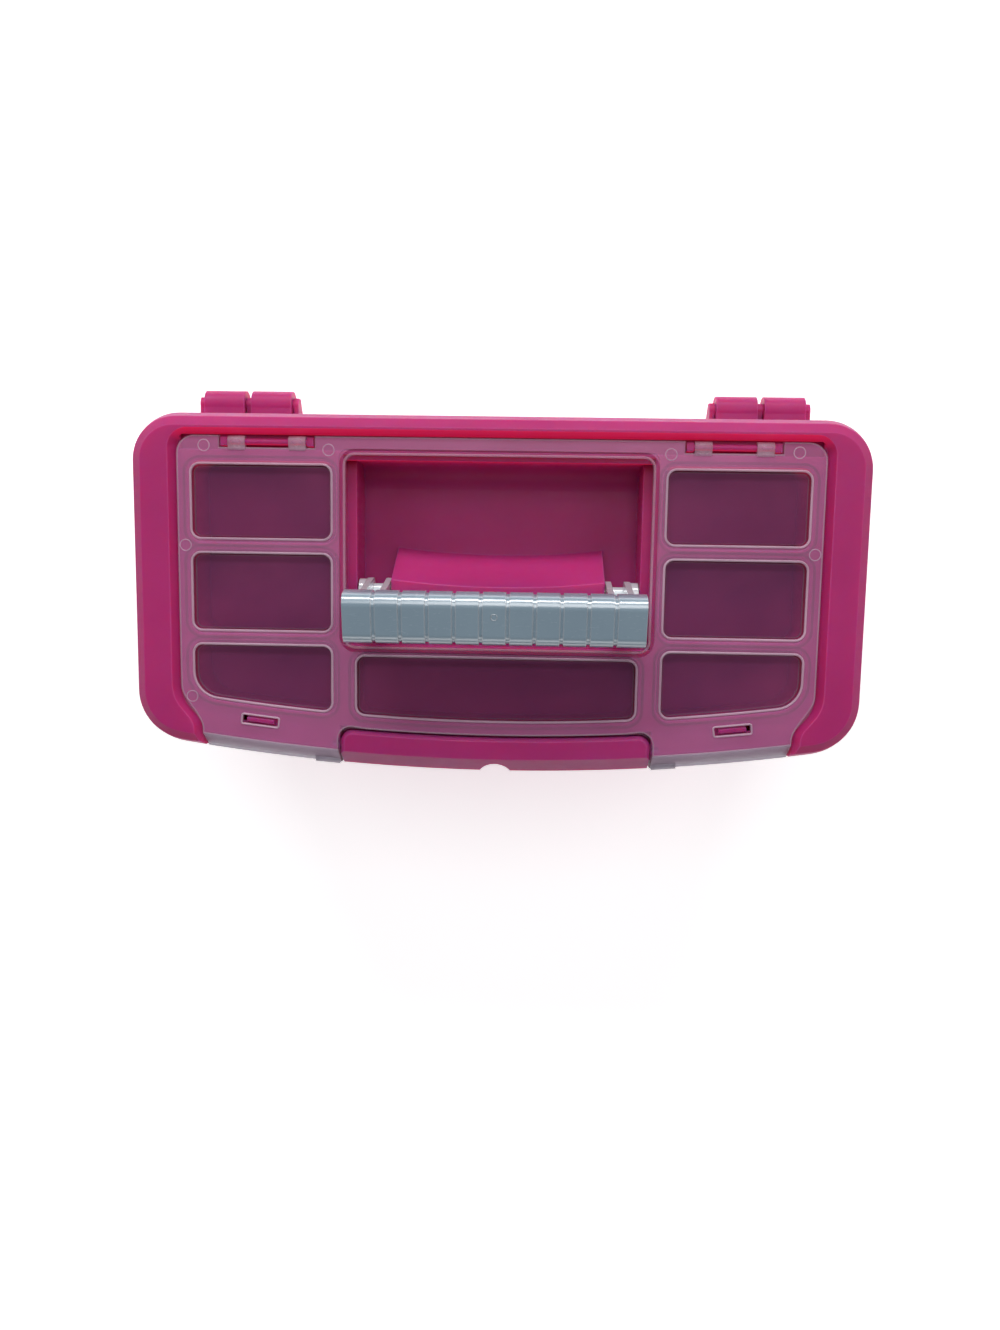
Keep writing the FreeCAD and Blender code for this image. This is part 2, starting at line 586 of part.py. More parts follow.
def buildWell(lid):
    # well for the folded handle, with side rails, slots for the arms and the saddle between them
    plateau = f"({coverTop} - dims.plateauDrop)"
    rail = f"({coverTop} - dims.railDrop)"
    topBack = "dims.windowBack + dims.coverGap"
    block(lid, "wellHousing", ("-dims.wellTopHalf", "dims.wellTopHalf"),
          ("dims.wellFront - dims.wall", "dims.wellBack + dims.wall"),
          (f"{wellFloor} - dims.wall", f"{deckUnder} + 1"))
    block(lid, "wellMouth", ("-dims.wellTopHalf", "dims.wellTopHalf"),
          ("dims.windowFront + dims.coverGap", topBack), (plateau, f"{rimTop} + 1"), cut=True)
    block(lid, "wellRails", ("-dims.wellTopHalf", "dims.wellTopHalf"),
          ("dims.wellFront", topBack), (rail, f"{plateau} + 1"), cut=True)
    scoop = polygon(lid, "wellPit", [
        ("dims.wellFront", wellFloor),
        ("dims.wellBack", wellFloor, "dims.wellScoop"),
        ("dims.wellBack", f"{rail} + 2"),
        ("dims.wellFront", f"{rail} + 2"),
    ], "dims.wellHalf", "YZ_Plane")
    pocket(lid, scoop, "2 * dims.wellHalf")
    loft(lid, [saddlePlan(lid, "saddleFoot", wellFloor + " - 0.5", "dims.saddleFoot"),
               saddlePlan(lid, "saddleTop", plateau, "dims.saddleTop")])
    block(lid, "saddleCore", ("-dims.saddleHalf + dims.wall + 4", "dims.saddleHalf - dims.wall - 4"),
          ("dims.wellFront + dims.wall", "dims.saddleTop - dims.wall"),
          (f"{wellFloor} - dims.wall - 1", f"{plateau} - dims.wall"), cut=True)
    for side in (1, -1):
        name = sideNames[side]
        rod(lid, "outerPinHole" + name,
            sideSpan(side, "dims.wellHalf - 1", "dims.wellHalf + 3.4"), "dims.handleY", handleZ,
            "dims.handlePin + dims.pinGap", cut=True)
        rod(lid, "innerPinHole" + name,
            sideSpan(side, "dims.saddleHalf - 3.6", "dims.saddleHalf + 1"), "dims.handleY", handleZ,
            "dims.handlePin + dims.pinGap", cut=True)


def saddlePlan(lid, name, offset, back):
    # the saddle's back edge is dished: its middle lies further forward than its corners
    sketch = sketchOn(lid, name, offset)
    half = number("dims.saddleHalf")
    hollow = number("dims.saddleHollow")
    rear = number(back)
    front = number("dims.wellFront - dims.wall / 2")
    radiusTo = "(dims.saddleHalf ^ 2 + dims.saddleHollow ^ 2) / (2 * dims.saddleHollow)"
    radius = number(radiusTo)
    centreY = rear - hollow + radius
    swing = math.asin(half / radius)
    dish = sketch.addGeometry(circleArc(0, centreY, radius, -math.pi / 2 - swing, -math.pi / 2 + swing), False)
    leftSide = sketch.addGeometry(lineTo((-half, rear), (-half, front)), False)
    frontSide = sketch.addGeometry(lineTo((-half, front), (half, front)), False)
    rightSide = sketch.addGeometry(lineTo((half, front), (half, rear)), False)
    hold(sketch, "Coincident", dish, 1, leftSide, 1)
    hold(sketch, "Coincident", leftSide, 2, frontSide, 1)
    hold(sketch, "Coincident", frontSide, 2, rightSide, 1)
    hold(sketch, "Coincident", rightSide, 2, dish, 2)
    hold(sketch, "PointOnObject", dish, 3, -2)
    hold(sketch, "Radius", dish, to=radiusTo)
    hold(sketch, "DistanceX", -1, 1, dish, 1, to="-dims.saddleHalf")
    hold(sketch, "DistanceX", -1, 1, dish, 2, to="dims.saddleHalf")
    hold(sketch, "DistanceY", -1, 1, dish, 1, to=back)
    hold(sketch, "Vertical", leftSide)
    hold(sketch, "Horizontal", frontSide)
    hold(sketch, "Vertical", rightSide)
    hold(sketch, "DistanceY", -1, 1, frontSide, 1, to="dims.wellFront - dims.wall / 2")
    return sketch


def buildLatchBay(lid):
    # bay for the latch's top leaf, with a floor and a pin hole in each cheek
    floor = f"({coverTop} - dims.bayDeep)"
    cheek = f"{bayHalf} + dims.wall"
    housing = bowStrip(lid, "bayHousing", f"{floor} - dims.wall", f"-({cheek})", cheek, "dims.frontStep + 0.5",
                       "dims.binFrontInset - 0.5")
    pad(lid, housing, f"{deckUnder} - {floor} + dims.wall + 1")
    bay = bowStrip(lid, "bayCut", f"{rimTop} + 1", f"-{bayHalf}", bayHalf, "-3",
                   f"{coverNotchInset} + dims.sideGap")
    pocket(lid, bay, f"{rimTop} + 1 - {floor}")
    rod(lid, "latchPinHoles", (f"-{bayHalf} - dims.wall - 1", f"{bayHalf} + dims.wall + 1"),
        "dims.latchY", latchZ, "dims.latchPin + dims.pinGap", cut=True)


def buildLidSide(lid, side, name):
    # cover hinge: trough, ears and bar
    middle = f"{side} * dims.barX"
    troughFloor = f"({coverTop} - dims.troughDeep)"
    near = "dims.barX - dims.barHalf"
    far = "dims.coverHalf - 1"
    beam = sideSpan(side, "0", far)
    block(lid, "troughBeam" + name, beam, ("dims.binBack + 1", "dims.coverBack + dims.wall"),
          (f"{troughFloor} - dims.wall", f"{deckUnder} + 1"))
    block(lid, "trough" + name, beam, ("dims.troughFront", "dims.coverBack + 0.7"),
          (troughFloor, f"{coverTop} - 1"), cut=True)
    for end, start in (("Inner", near), ("Outer", "dims.barX + dims.barHalf - dims.earWide")):
        block(lid, f"ear{end}{name}", sideSpan(side, start, f"{start} + dims.earWide"),
              ("dims.barY - 1.8", "dims.barY + 1.8"), (f"{troughFloor} - 1", f"{coverTop} - 0.2"))
    rod(lid, "bar" + name, (f"{middle} - dims.barHalf", f"{middle} + dims.barHalf"), "dims.barY", barZ,
        "dims.barRadius")
    # tongue that snaps through the cover's slot, with a hole beside it
    tongue = lid.newObject("PartDesign::AdditiveBox", "catchTongue" + name)
    placeSlanted(tongue, side, "0", "dims.catchLong", "dims.catchThick", f"{deckTop} - 1", f"{coverTop} - 0.3")
    hole = lid.newObject("PartDesign::SubtractiveBox", "catchHole" + name)
    away = "(dims.catchLong / 2 + dims.catchHole / 2)"
    placeSlanted(hole, side, away, "dims.catchHole", "dims.catchThick * 1.4", f"{deckUnder} - 1", f"{deckTop} + 1")
    # hinge clips round the body's pin
    clipWide = "(dims.hingeHalf - 1.5 * dims.hingeRib - 2 * dims.sideGap)"
    clipStart = "(dims.hingeRib / 2 + dims.sideGap)"
    hinge = f"{side} * dims.hingeX"
    for place, start in enumerate((f"{hinge} - {clipStart} - {clipWide}", f"{hinge} + {clipStart}")):
        span = (start, f"{start} + {clipWide}")
        rod(lid, f"clip{name}{place}", span, "dims.hingeY", hingeZ, "dims.clipRadius")
        block(lid, f"clipArm{name}{place}", span,
              ("dims.backReach - dims.wall / 2", "dims.hingeY"),
              ("dims.bodyHeight + 0.6", f"{hingeZ} + dims.clipRadius - 0.3"))
        rod(lid, f"clipBore{name}{place}", (f"{start} - 0.01", f"{start} + {clipWide} + 0.01"), "dims.hingeY",
            hingeZ, "dims.hingePin + dims.pinGap", cut=True)
        block(lid, f"clipMouth{name}{place}", (f"{start} - 0.01", f"{start} + {clipWide} + 0.01"),
              ("dims.hingeY - dims.clipMouth / 2", "dims.hingeY + dims.clipMouth / 2"),
              (f"{hingeZ} - dims.clipRadius - 1", hingeZ), cut=True)


def placeSlanted(feature, side, away, long, wide, low, high):
    # a short bar that follows the bowed front at the place of a cover catch, or further out by away
    angle = f"({side} * dims.slotTurn)"
    edge = f"({bowCentre} - sqrt((dims.bowRadius - dims.slotInset) ^ 2 - dims.slotX ^ 2))"
    feature.setExpression("Length", long)
    feature.setExpression("Width", wide)
    feature.setExpression("Height", f"({high}) - ({low})")
    feature.Placement = FreeCAD.Placement(
        FreeCAD.Vector(), FreeCAD.Rotation(FreeCAD.Vector(0, 0, 1), number(angle)))
    feature.setExpression(
        ".Placement.Base.x",
        f"{side} * dims.slotX + ({side} * {away} - ({long}) / 2) * cos({angle}) + ({wide}) / 2 * sin({angle})")
    feature.setExpression(
        ".Placement.Base.y",
        f"{edge} + ({side} * {away} - ({long}) / 2) * sin({angle}) - ({wide}) / 2 * cos({angle})")
    feature.setExpression(".Placement.Base.z", low)


def roundUpright(body, base, name, half, inset, radius):
    # round the two upright edges that stand at this half width on the bowed line
    edgeX = number(half)
    edgeY = number(f"{bowCentre} - sqrt((dims.bowRadius - {inset}) ^ 2 - {half} ^ 2)")
    corners = []
    for index, edge in enumerate(base.Shape.Edges, start=1):
        box = edge.BoundBox
        upright = box.ZLength > 1 and box.XLength < 0.01 and box.YLength < 0.01
        if upright and abs(abs(box.XMin) - edgeX) < 0.01 and abs(box.YMin - edgeY) < 0.05:
            corners.append(f"Edge{index}")
    if len(corners) != 2:
        raise RuntimeError(f"{name}: {len(corners)} edges found")
    rounding = body.newObject("PartDesign::Fillet", name)
    rounding.Base = (base, corners)
    rounding.setExpression("Radius", radius)
    doc.recompute()
    return rounding


def buildCover():
    cover = newBody("organizer_cover")
    plan = coverPlan(cover, "coverPlan", coverUnder, "0", "-dims.frontReach - 9", "dims.coverCorner")
    pad(cover, plan, "dims.coverThick")
    trim = bowStrip(cover, "coverTrim", f"{coverTop} + 1", "-dims.coverHalf - 4", "dims.coverHalf + 4", "-20",
                    "dims.frontBevelWide")
    pocket(cover, trim, "dims.coverThick + 2")
    for side in (1, -1):
        left, right = sideSpan(side, f"{bayHalf} + dims.sideGap", "dims.flapReach - dims.coverGap")
        edge = "dims.lidDraft * 0.5"
        thick = "dims.coverThick"
        levels = [(coverTop, "dims.frontBevelWide"), (f"{coverTop} - dims.frontBevelDeep", edge),
                  (f"{coverTop} - dims.flapFoot", edge)]
        loft(cover, [bowStrip(cover, f"flap{sideNames[side]}{place}", height, left, right, inset,
                              f"{inset} + {thick}")
                     for place, (height, inset) in enumerate(levels)])
    for sketch in binShapes(cover, "skirt", f"{coverUnder} - dims.skirtTall", "dims.skirtGap"):
        pad(cover, sketch, "dims.skirtTall + dims.coverThick / 2")
    for sketch in binShapes(cover, "pane", coverUnder, "dims.skirtGap + dims.skirtThick"):
        pocket(cover, sketch, "dims.skirtTall + 1")
    bead = tub(cover, "windowBead", coverTop, "-dims.windowHalf - dims.beadWide",
               "dims.windowHalf + dims.beadWide", "dims.windowBack + dims.beadWide", "dims.windowFront",
               ("dims.windowCorner",) * 4, bowed=False)
    pad(cover, bead, "dims.beadTall")
    window = tub(cover, "windowCut", f"{coverTop} + 2", "-dims.windowHalf", "dims.windowHalf",
                 "dims.windowBack", "dims.windowFront", ("dims.windowCorner",) * 4, bowed=False)
    pocket(cover, window, "dims.coverThick + 4")
    notch = bowStrip(cover, "latchNotch", f"{coverTop} + 1", f"-{coverNotchHalf}", coverNotchHalf, "-3",
                     coverNotchInset)
    pocket(cover, notch, "dims.flapFoot + 2")
    doc.recompute()
    roundUpright(cover, cover.Tip, "notchCorners", coverNotchHalf, coverNotchInset, coverNotchRound)
    for side in (1, -1):
        buildCoverSide(cover, side, sideNames[side])
    return cover


def buildCoverSide(cover, side, name):
    # notches round the lid's ears, a gap over the bare bar and two eyes that grip it
    gap = "dims.sideGap"
    back = "dims.coverBack + 1"
    low = f"{coverUnder} - 1"
    high = f"{coverTop} + 1"
    front = "dims.troughFront + 0.8"
    edge = "dims.barX + dims.barHalf"
    near = "dims.barX - dims.barHalf"
    block(cover, "hingeGap" + name, sideSpan(side, f"{near} - {gap}", f"{edge} + {gap}"), (front, back),
          (low, high), cut=True)
    for end, start in (("Inner", "dims.barX - dims.eyeFar"), ("Outer", "dims.barX + dims.eyeFar - dims.eyeWide")):
        span = sideSpan(side, start, f"{start} + dims.eyeWide")
        block(cover, f"eyeArm{end}{name}", span, (f"{front} - 1", "dims.barY"), (coverUnder, coverTop))
        rod(cover, f"eye{end}{name}", span, "dims.barY", barZ, "dims.eyeRadius")
    rod(cover, "eyeBore" + name, sideSpan(side, near, edge), "dims.barY", barZ,
        "dims.barRadius + dims.pinGap", cut=True)
    block(cover, "eyeMouth" + name, sideSpan(side, near, edge),
          ("dims.barY - dims.barRadius * 0.75", "dims.barY + dims.barRadius * 0.75"),
          (f"{barZ} - dims.eyeRadius - 1", barZ), cut=True)
    slot = cover.newObject("PartDesign::SubtractiveBox", "catchSlot" + name)
    placeSlanted(slot, side, "0", slotLong, slotWide, low, high)


def buildHandle():
    # modelled upright about its pivot, then leaned forward on its stop
    handle = newBody("carry_handle")
    core = gripSection(handle, "gripCore", "-dims.gripLength / 2 + 1", "dims.grooveDeep")
    pad(handle, core, "dims.gripLength - 2")
    ribWide = "(dims.ribPitch - dims.grooveWide)"
    endWide = "(dims.gripLength / 2 - 4.5 * dims.ribPitch - dims.grooveWide / 2)"
    rib = gripSection(handle, "gripBand", "-4.5 * dims.ribPitch + dims.grooveWide / 2", "0")
    band = pad(handle, rib, ribWide)
    doc.recompute()
    pattern = handle.newObject("PartDesign::LinearPattern", "gripBands")
    pattern.Originals = [band]
    pattern.Direction = (next(item for item in handle.Origin.OriginFeatures if item.Role == "X_Axis"), [""])
    pattern.setExpression("Length", "8 * dims.ribPitch")
    pattern.Occurrences = 9
    handle.Tip = pattern
    for side in (1, -1):
        name = sideNames[side]
        start = "dims.gripLength / 2" if side > 0 else f"-dims.gripLength / 2 + {endWide}"
        endBand = gripSection(handle, "gripEnd" + name, f"{start} - {endWide}", "0")
        pad(handle, endBand, endWide)
    for side in (1, -1):
        buildArm(handle, side, sideNames[side])
    place = FreeCAD.Vector(0, number("dims.handleY"), number(handleZ))
    lean = FreeCAD.Rotation(FreeCAD.Vector(1, 0, 0), number("dims.handleLean"))
    handle.Placement = FreeCAD.Placement(place, lean)
    handle.setExpression(".Placement.Base.y", "dims.handleY")
    handle.setExpression(".Placement.Base.z", handleZ)
    return handle


def gripSection(handle, name, offset, shrink):
    half = f"(dims.gripDepth / 2 - ({shrink}))"
    low = f"dims.handleRise - dims.gripThick / 2 + ({shrink})"
    high = f"dims.handleRise + dims.gripThick / 2 - ({shrink})"
    soft = "dims.gripRound"
    return polygon(handle, name, [
        (f"-{half}", low, soft), (half, low, soft), (half, high, soft), (f"-{half}", high, soft),
    ], offset, "YZ_Plane")


def buildArm(handle, side, name):
    # channel-shaped arm: a front plate and two webs, rounded about the pin
    low, high = sideSpan(side, "dims.armInner", "dims.armOuter")
    halfDeep = "(dims.armDeep / 2)"
    reach = "(dims.handleRise - dims.gripThick / 2 + 2)"
    block(handle, "arm" + name, (low, high), (f"-{halfDeep}", halfDeep), ("0", reach))
    rod(handle, "armEnd" + name, (low, high), "0", "0", halfDeep)
    inner = sideSpan(side, "dims.armInner + dims.webThick", "dims.armOuter - dims.webThick")
    block(handle, "armHollow" + name, inner, (f"-{halfDeep} + dims.webThick", f"{halfDeep} + 1"),
          (f"-{halfDeep} - 1", "dims.handleRise - dims.gripThick / 2 - 2"), cut=True)
    boss = sideSpan(side, "dims.armOuter - 1", "dims.wellHalf - dims.sideGap")
    rod(handle, "armBoss" + name, boss, "0", "0", "dims.handleBoss")
    pin = sideSpan(side, "dims.saddleHalf - 3.2", "dims.wellHalf + 3")
    rod(handle, "armPin" + name, pin, "0", "0", "dims.handlePin")


def buildLatch():
    latch = newBody("front_latch")
    leafThick = "(dims.latchThick + 0.2)"
    leaf = bowStrip(latch, "latchLeaf", f"{coverTop} - {leafThick}", "-dims.latchHalf", "dims.latchHalf",
                    "dims.frontBevelWide + dims.latchThick / 2", "dims.latchTopInset")
    pad(latch, leaf, leafThick)
    doc.recompute()
    roundUpright(latch, latch.Tip, "leafCorners", "dims.latchHalf", "dims.latchTopInset", "dims.latchCorner")
    bevelFoot = f"{coverTop} - dims.frontBevelDeep"
    levels = [(coverTop, "dims.frontBevelWide", "dims.latchThick + 0.6"),
              (bevelFoot, "dims.lidDraft * 0.5", "dims.latchThick"),
              ("dims.latchFoot", "0.001", "dims.latchThick")]
    loft(latch, [bowStrip(latch, f"latchPlate{place}", height, "-dims.latchHalf", "dims.latchHalf", inset,
                          f"{inset} + {thick}") for place, (height, inset, thick) in enumerate(levels)])
    rod(latch, "latchBarrel", ("-dims.latchHalf", "dims.latchHalf"), "dims.latchY", latchZ,
        "dims.latchBarrel")
    rod(latch, "latchPins", (f"-{bayHalf} - dims.wall + 0.2", f"{bayHalf} + dims.wall - 0.2"),
        "dims.latchY", latchZ, "dims.latchPin")
    bead = bowStrip(latch, "latchBead", f"{flangeTop} - dims.flangeTall - dims.catchTall - 0.6", "-dims.catchHalf",
                    "dims.catchHalf", "dims.latchThick / 2", "dims.latchThick + dims.catchDeep")
    pad(latch, bead, "dims.catchTall")
    notch = latch.newObject("PartDesign::SubtractiveCylinder", "fingerNotch")
    notch.setExpression("Radius", "dims.notchRadius")
    notch.setExpression("Height", f"{coverTop} + 1 - dims.notchFoot")
    notch.setExpression(".Placement.Base.y", "dims.notchY")
    notch.setExpression(".Placement.Base.z", "dims.notchFoot")
    doc.recompute()
    easeLeaf(latch, notch)
    return latch


def easeLeaf(latch, base):
    # bevel the leaf's back edge so that it swings clear
    half = number("dims.latchHalf")
    top = number(coverTop)
    backEdges = []
    for index, edge in enumerate(base.Shape.Edges, start=1):
        box = edge.BoundBox
        level = abs(box.ZMin - top) < 0.01 and abs(box.ZMax - top) < 0.01
        if level and box.XLength > half and box.YMax > number("dims.latchY"):
            backEdges.append(f"Edge{index}")
    bevel = latch.newObject("PartDesign::Chamfer", "leafBevel")
    bevel.Base = (base, backEdges)
    bevel.setExpression("Size", "dims.leafBevel")
    return bevel


def buildTray():
    tray = newBody("lift_out_tray")
    radii = ("dims.trayCorner",) * 4
    inner = ("dims.trayCorner - dims.trayWall",) * 4
    tall = "(dims.trayTop - dims.trayFoot)"
    shell = tub(tray, "trayPlan", "dims.trayFoot", "-dims.trayHalf", "dims.trayHalf", "dims.trayBack",
                "dims.trayFront", radii, bowed=False)
    pad(tray, shell, tall)
    hollow = tub(tray, "trayHollow", "dims.trayTop + 1", "-dims.trayHalf + dims.trayWall",
                 "dims.trayHalf - dims.trayWall", "dims.trayBack - dims.trayWall",
                 "dims.trayFront + dims.trayWall", inner, bowed=False)
    pocket(tray, hollow, f"{tall} + 1 - dims.trayWall")
    middle = "((dims.trayFront + dims.trayBack) / 2)"
    spine = (f"{middle} - dims.trayWall / 2", f"{middle} + dims.trayWall / 2")
    block(tray, "traySpine", ("-dims.trayHalf + 1", "dims.trayHalf - 1"), spine,
          ("dims.trayFoot + 1", "dims.trayTop - 4"))
    gripTop = "(dims.trayTop + dims.trayGripRise)"
    block(tray, "trayBar", ("-dims.trayGrip", "dims.trayGrip"),
          (f"{middle} - dims.barThick / 2", f"{middle} + dims.barThick / 2"),
          ("dims.trayTop - 12", gripTop))
    block(tray, "fingerHole", ("-dims.fingerHalf", "dims.fingerHalf"),
          (f"{middle} - dims.barThick", f"{middle} + dims.barThick"),
          (f"{gripTop} - 6 - dims.fingerTall", f"{gripTop} - 6"), cut=True)
    for side in (1, -1):
        low, high = sideSpan(side, "dims.trayHalf - 1", "dims.trayHalf + dims.trayEar")
        block(tray, "trayEar" + sideNames[side], (low, high), ("-dims.trayEarHalf + 6", "dims.trayEarHalf + 6"),
              ("dims.trayTop - dims.trayWall", "dims.trayTop"))
    for place, (x, front, back) in enumerate(dividerPlaces()):
        buildGuides(tray, place, x, front, back)
    return tray


def dividerPlaces():
    # middle, front end and back end of each divider's compartment row
    middle = "((dims.trayFront + dims.trayBack) / 2)"
    frontRow = ("(dims.trayFront + dims.trayWall)", f"({middle} - dims.trayWall / 2)")
    backRow = (f"({middle} + dims.trayWall / 2)", "(dims.trayBack - dims.trayWall)")
    return [(x, *row) for row in (frontRow, backRow) for x in ("-dims.dividerX", "dims.dividerX")]


def buildGuides(tray, place, x, front, back):
    # a pair of ribs at each end of a divider
    top = "dims.trayFoot + dims.trayWall + dims.dividerTall - 4"
    for end, (low, high) in enumerate(((f"{front} - 0.5", f"{front} + dims.guideReach"),
                                       (f"{back} - dims.guideReach", f"{back} + 0.5"))):
        for side in (1, -1):
            near = "dims.dividerThick / 2 + dims.fitGap"
            span = sideSpan(side, near, f"{near} + dims.guideWide")
            block(tray, f"guide{place}{end}{sideNames[side]}", (f"{x} + ({span[0]})", f"{x} + ({span[1]})"),
                  (low, high), ("dims.trayFoot + 1", top))


def buildDivider(label, x, front, back):
    divider = newBody(label)
    low = "dims.trayFoot + dims.trayWall + dims.fitGap / 2"
    high = "dims.trayFoot + dims.trayWall + dims.dividerTall"
    middle = f"(({front}) + ({back})) / 2"
    plate = polygon(divider, label.replace("_", "") + "Plan", [
        (f"{front} + dims.fitGap", low), (f"{back} - dims.fitGap", low),
        (f"{back} - dims.fitGap", high, "2"), (f"{middle} + 11", high, "3"),
        (f"{middle} + 7", f"{high} - 6", "4"), (f"{middle} - 7", f"{high} - 6", "4"),
        (f"{middle} - 11", high, "3"), (f"{front} + dims.fitGap", high, "2"),
    ], f"{x} - dims.dividerThick / 2", "YZ_Plane")
    pad(divider, plate, "dims.dividerThick")
    return divider


pieces = [buildBody(), buildLid(), buildCover(), buildHandle(), buildLatch(), buildTray()]
dividerNames = ["front_left_divider", "front_right_divider", "back_left_divider", "back_right_divider"]
for label, (x, front, back) in zip(dividerNames, dividerPlaces()):
    pieces.append(buildDivider(label, x, front, back))

doc.recompute()

for item in doc.Objects:
    if "Invalid" in item.State or "Error" in item.State:
        raise RuntimeError(f"{item.Name} failed: {item.State}")
for piece in pieces:
    if piece.Shape.isNull() or not piece.Shape.isValid():
        raise RuntimeError(f"{piece.Label} has no valid shape")

os.makedirs("parts", exist_ok=True)
for piece in pieces:
    piece.Shape.exportStep(f"parts/{piece.Label}.step")
    box = piece.Shape.BoundBox
    print(piece.Label, len(piece.Shape.Solids), "solid", round(piece.Shape.Volume / 1000, 1), "cm3",
          [round(v, 1) for v in (box.XMin, box.YMin, box.ZMin, box.XMax, box.YMax, box.ZMax)])
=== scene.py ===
import math

import bmesh
import bpy
from mathutils import Matrix, Vector


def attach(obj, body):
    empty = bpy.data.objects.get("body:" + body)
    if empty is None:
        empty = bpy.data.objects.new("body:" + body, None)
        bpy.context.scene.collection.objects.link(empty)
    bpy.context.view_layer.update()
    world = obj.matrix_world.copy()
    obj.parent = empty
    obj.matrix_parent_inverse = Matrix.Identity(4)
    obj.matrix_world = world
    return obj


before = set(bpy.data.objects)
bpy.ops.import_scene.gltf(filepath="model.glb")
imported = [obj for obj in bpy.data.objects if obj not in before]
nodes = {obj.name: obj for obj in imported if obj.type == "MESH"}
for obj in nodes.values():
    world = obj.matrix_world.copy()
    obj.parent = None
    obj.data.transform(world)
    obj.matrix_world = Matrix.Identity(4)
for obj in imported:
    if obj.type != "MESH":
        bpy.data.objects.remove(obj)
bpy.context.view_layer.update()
mm = 0.001


def spot(x, y, z):
    return Vector((x * mm, y * mm, z * mm))


def addNode(tree, kind, **values):
    node = tree.nodes.new(kind)
    for name, value in values.items():
        if name in node.inputs:
            node.inputs[name].default_value = value
        else:
            setattr(node, name, value)
    return node


def meshPiece(name, mesh, material, body):
    piece = bpy.data.objects.new(name, mesh)
    bpy.context.collection.objects.link(piece)
    mesh.materials.append(material)
    for face in mesh.polygons:
        face.use_smooth = True
    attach(piece, body)
    return piece


shellLook = {
    "colour": (0.56, 0.042, 0.225),     # pink polypropylene
    "deep": (0.48, 0.030, 0.185),       # where it flowed thicker
    "rough": (0.36, 0.50),
    "shine": 0.28,
    "flowScale": 9.0,
    "grainScale": 2600.0,               # fine spark-eroded grain
    "grainDepth": 0.00006,
    "wearAndHighlightColour": (0.70, 0.15, 0.40),   # rubbed edges: partly wear, partly a painted edge highlight
    "edgeRadius": 0.0009,
    "wearAndHighlightAmount": 0.5,
    "paintedWallGlow": 0.30,                   # painted crimson glow (emission) near the tops of upright walls
    "glowColour": (1.0, 0.012, 0.07),
    "glowBack": (0.050, 0.057, 0.071, 0.073),      # starts, full, full, ends
    "glowSide": (0.110, 0.128, 0.145, 0.147),
    "glowRise": (0.106, 0.128),
    "paintedGlowSideShare": 0.16,
    "glow": 0.70,                       # light that passes through the thin walls
    "alpha": 1.0,
}
coverLook = {
    "colour": (0.66, 0.36, 0.52),       # clear polypropylene, tinted pink as painted light: pink light scattered up from the deck below
    "deep": (0.56, 0.30, 0.44),
    "rough": (0.30, 0.46),
    "shine": 0.12,
    "flowScale": 14.0,
    "grainScale": 1900.0,
    "grainDepth": 0.00005,
    "wearAndHighlightColour": (0.80, 0.74, 0.80),
    "edgeRadius": 0.0005,
    "wearAndHighlightAmount": 0.5,
    "alpha": 0.03,
    "edgeAlpha": 0.40,                  # steep faces look denser
}
ridgeLook = {
    "colour": (0.95, 0.66, 0.83),       # thicker, whiter sealing ridges
    "deep": (0.88, 0.59, 0.77),
    "rough": (0.18, 0.30),
    "shine": 0.5,
    "flowScale": 20.0,
    "grainScale": 1500.0,
    "grainDepth": 0.00003,
    "wearAndHighlightColour": (0.85, 0.80, 0.85),
    "edgeRadius": 0.0003,
    "wearAndHighlightAmount": 0.3,
    "alpha": 0.42,
    "edgeAlpha": 0.30,
}
faintLook = dict(ridgeLook, alpha=0.20, edgeAlpha=0.22)      # low steps and outlines
flapLook = dict(ridgeLook, colour=(0.72, 0.63, 0.76), deep=(0.64, 0.55, 0.69), alpha=0.42)   # bent-down flaps
frostLook = dict(ridgeLook, colour=(1.0, 0.36, 0.72), deep=(0.88, 0.30, 0.62), flowScale=11.0, alpha=0.21,
                 edgeAlpha=0.1)                              # finely textured face round the bins; its strong pink is painted light, pink light scattered up from the deck below
paneShadeLook = dict(coverLook, colour=(0.34, 0.040, 0.18), deep=(0.16, 0.034, 0.15), alpha=0.26,   # over the bins; their dark purple is painted shade of the bins' insides
                edgeAlpha=0.1, shine=0.05)
handleLook = {
    "colour": (0.32, 0.43, 0.52),       # pale blue-grey
    "deep": (0.29, 0.395, 0.485),
    "paintedArmLight": (0.70, 0.77, 0.82),         # painted light: the arms are painted paler for the back light they catch
    "paintedArmLightBelow": 0.150,
    "paintedArmLightFade": 0.004,
    "rough": (0.20, 0.30),
    "coat": 1.0,
    "coatRough": 0.22,
    "coatIor": 2.1,
    "shine": 0.9,
    "flowScale": 22.0,
    "grainScale": 1800.0,
    "grainDepth": 0.00005,
    # edges lighter partly as wear and partly as a painted edge highlight
    "wearAndHighlightColour": (0.95, 0.97, 1.0),
    "edgeRadius": 0.0006,
    "wearAndHighlightAmount": 0.6,
    "alpha": 1.0,
}
trayLook = {
    "colour": (0.86, 0.86, 0.88),       # milky white
    "deep": (0.79, 0.79, 0.82),
    "rough": (0.34, 0.48),
    "shine": 0.4,
    "flowScale": 10.0,
    "grainScale": 1700.0,
    "grainDepth": 0.00005,
    "wearAndHighlightColour": (0.84, 0.84, 0.86),
    "edgeRadius": 0.0005,
    "wearAndHighlightAmount": 0.4,
    "alpha": 1.0,
}


def ramp(tree, value, low, high, top=1.0, foot=0.0):
    # foot at low, top at high
    slope = addNode(tree, "ShaderNodeMapRange")
    slope.inputs["From Min"].default_value = low
    slope.inputs["From Max"].default_value = high
    slope.inputs["To Min"].default_value = foot
    slope.inputs["To Max"].default_value = top
    tree.links.new(value, slope.inputs["Value"])
    return slope.outputs["Result"]


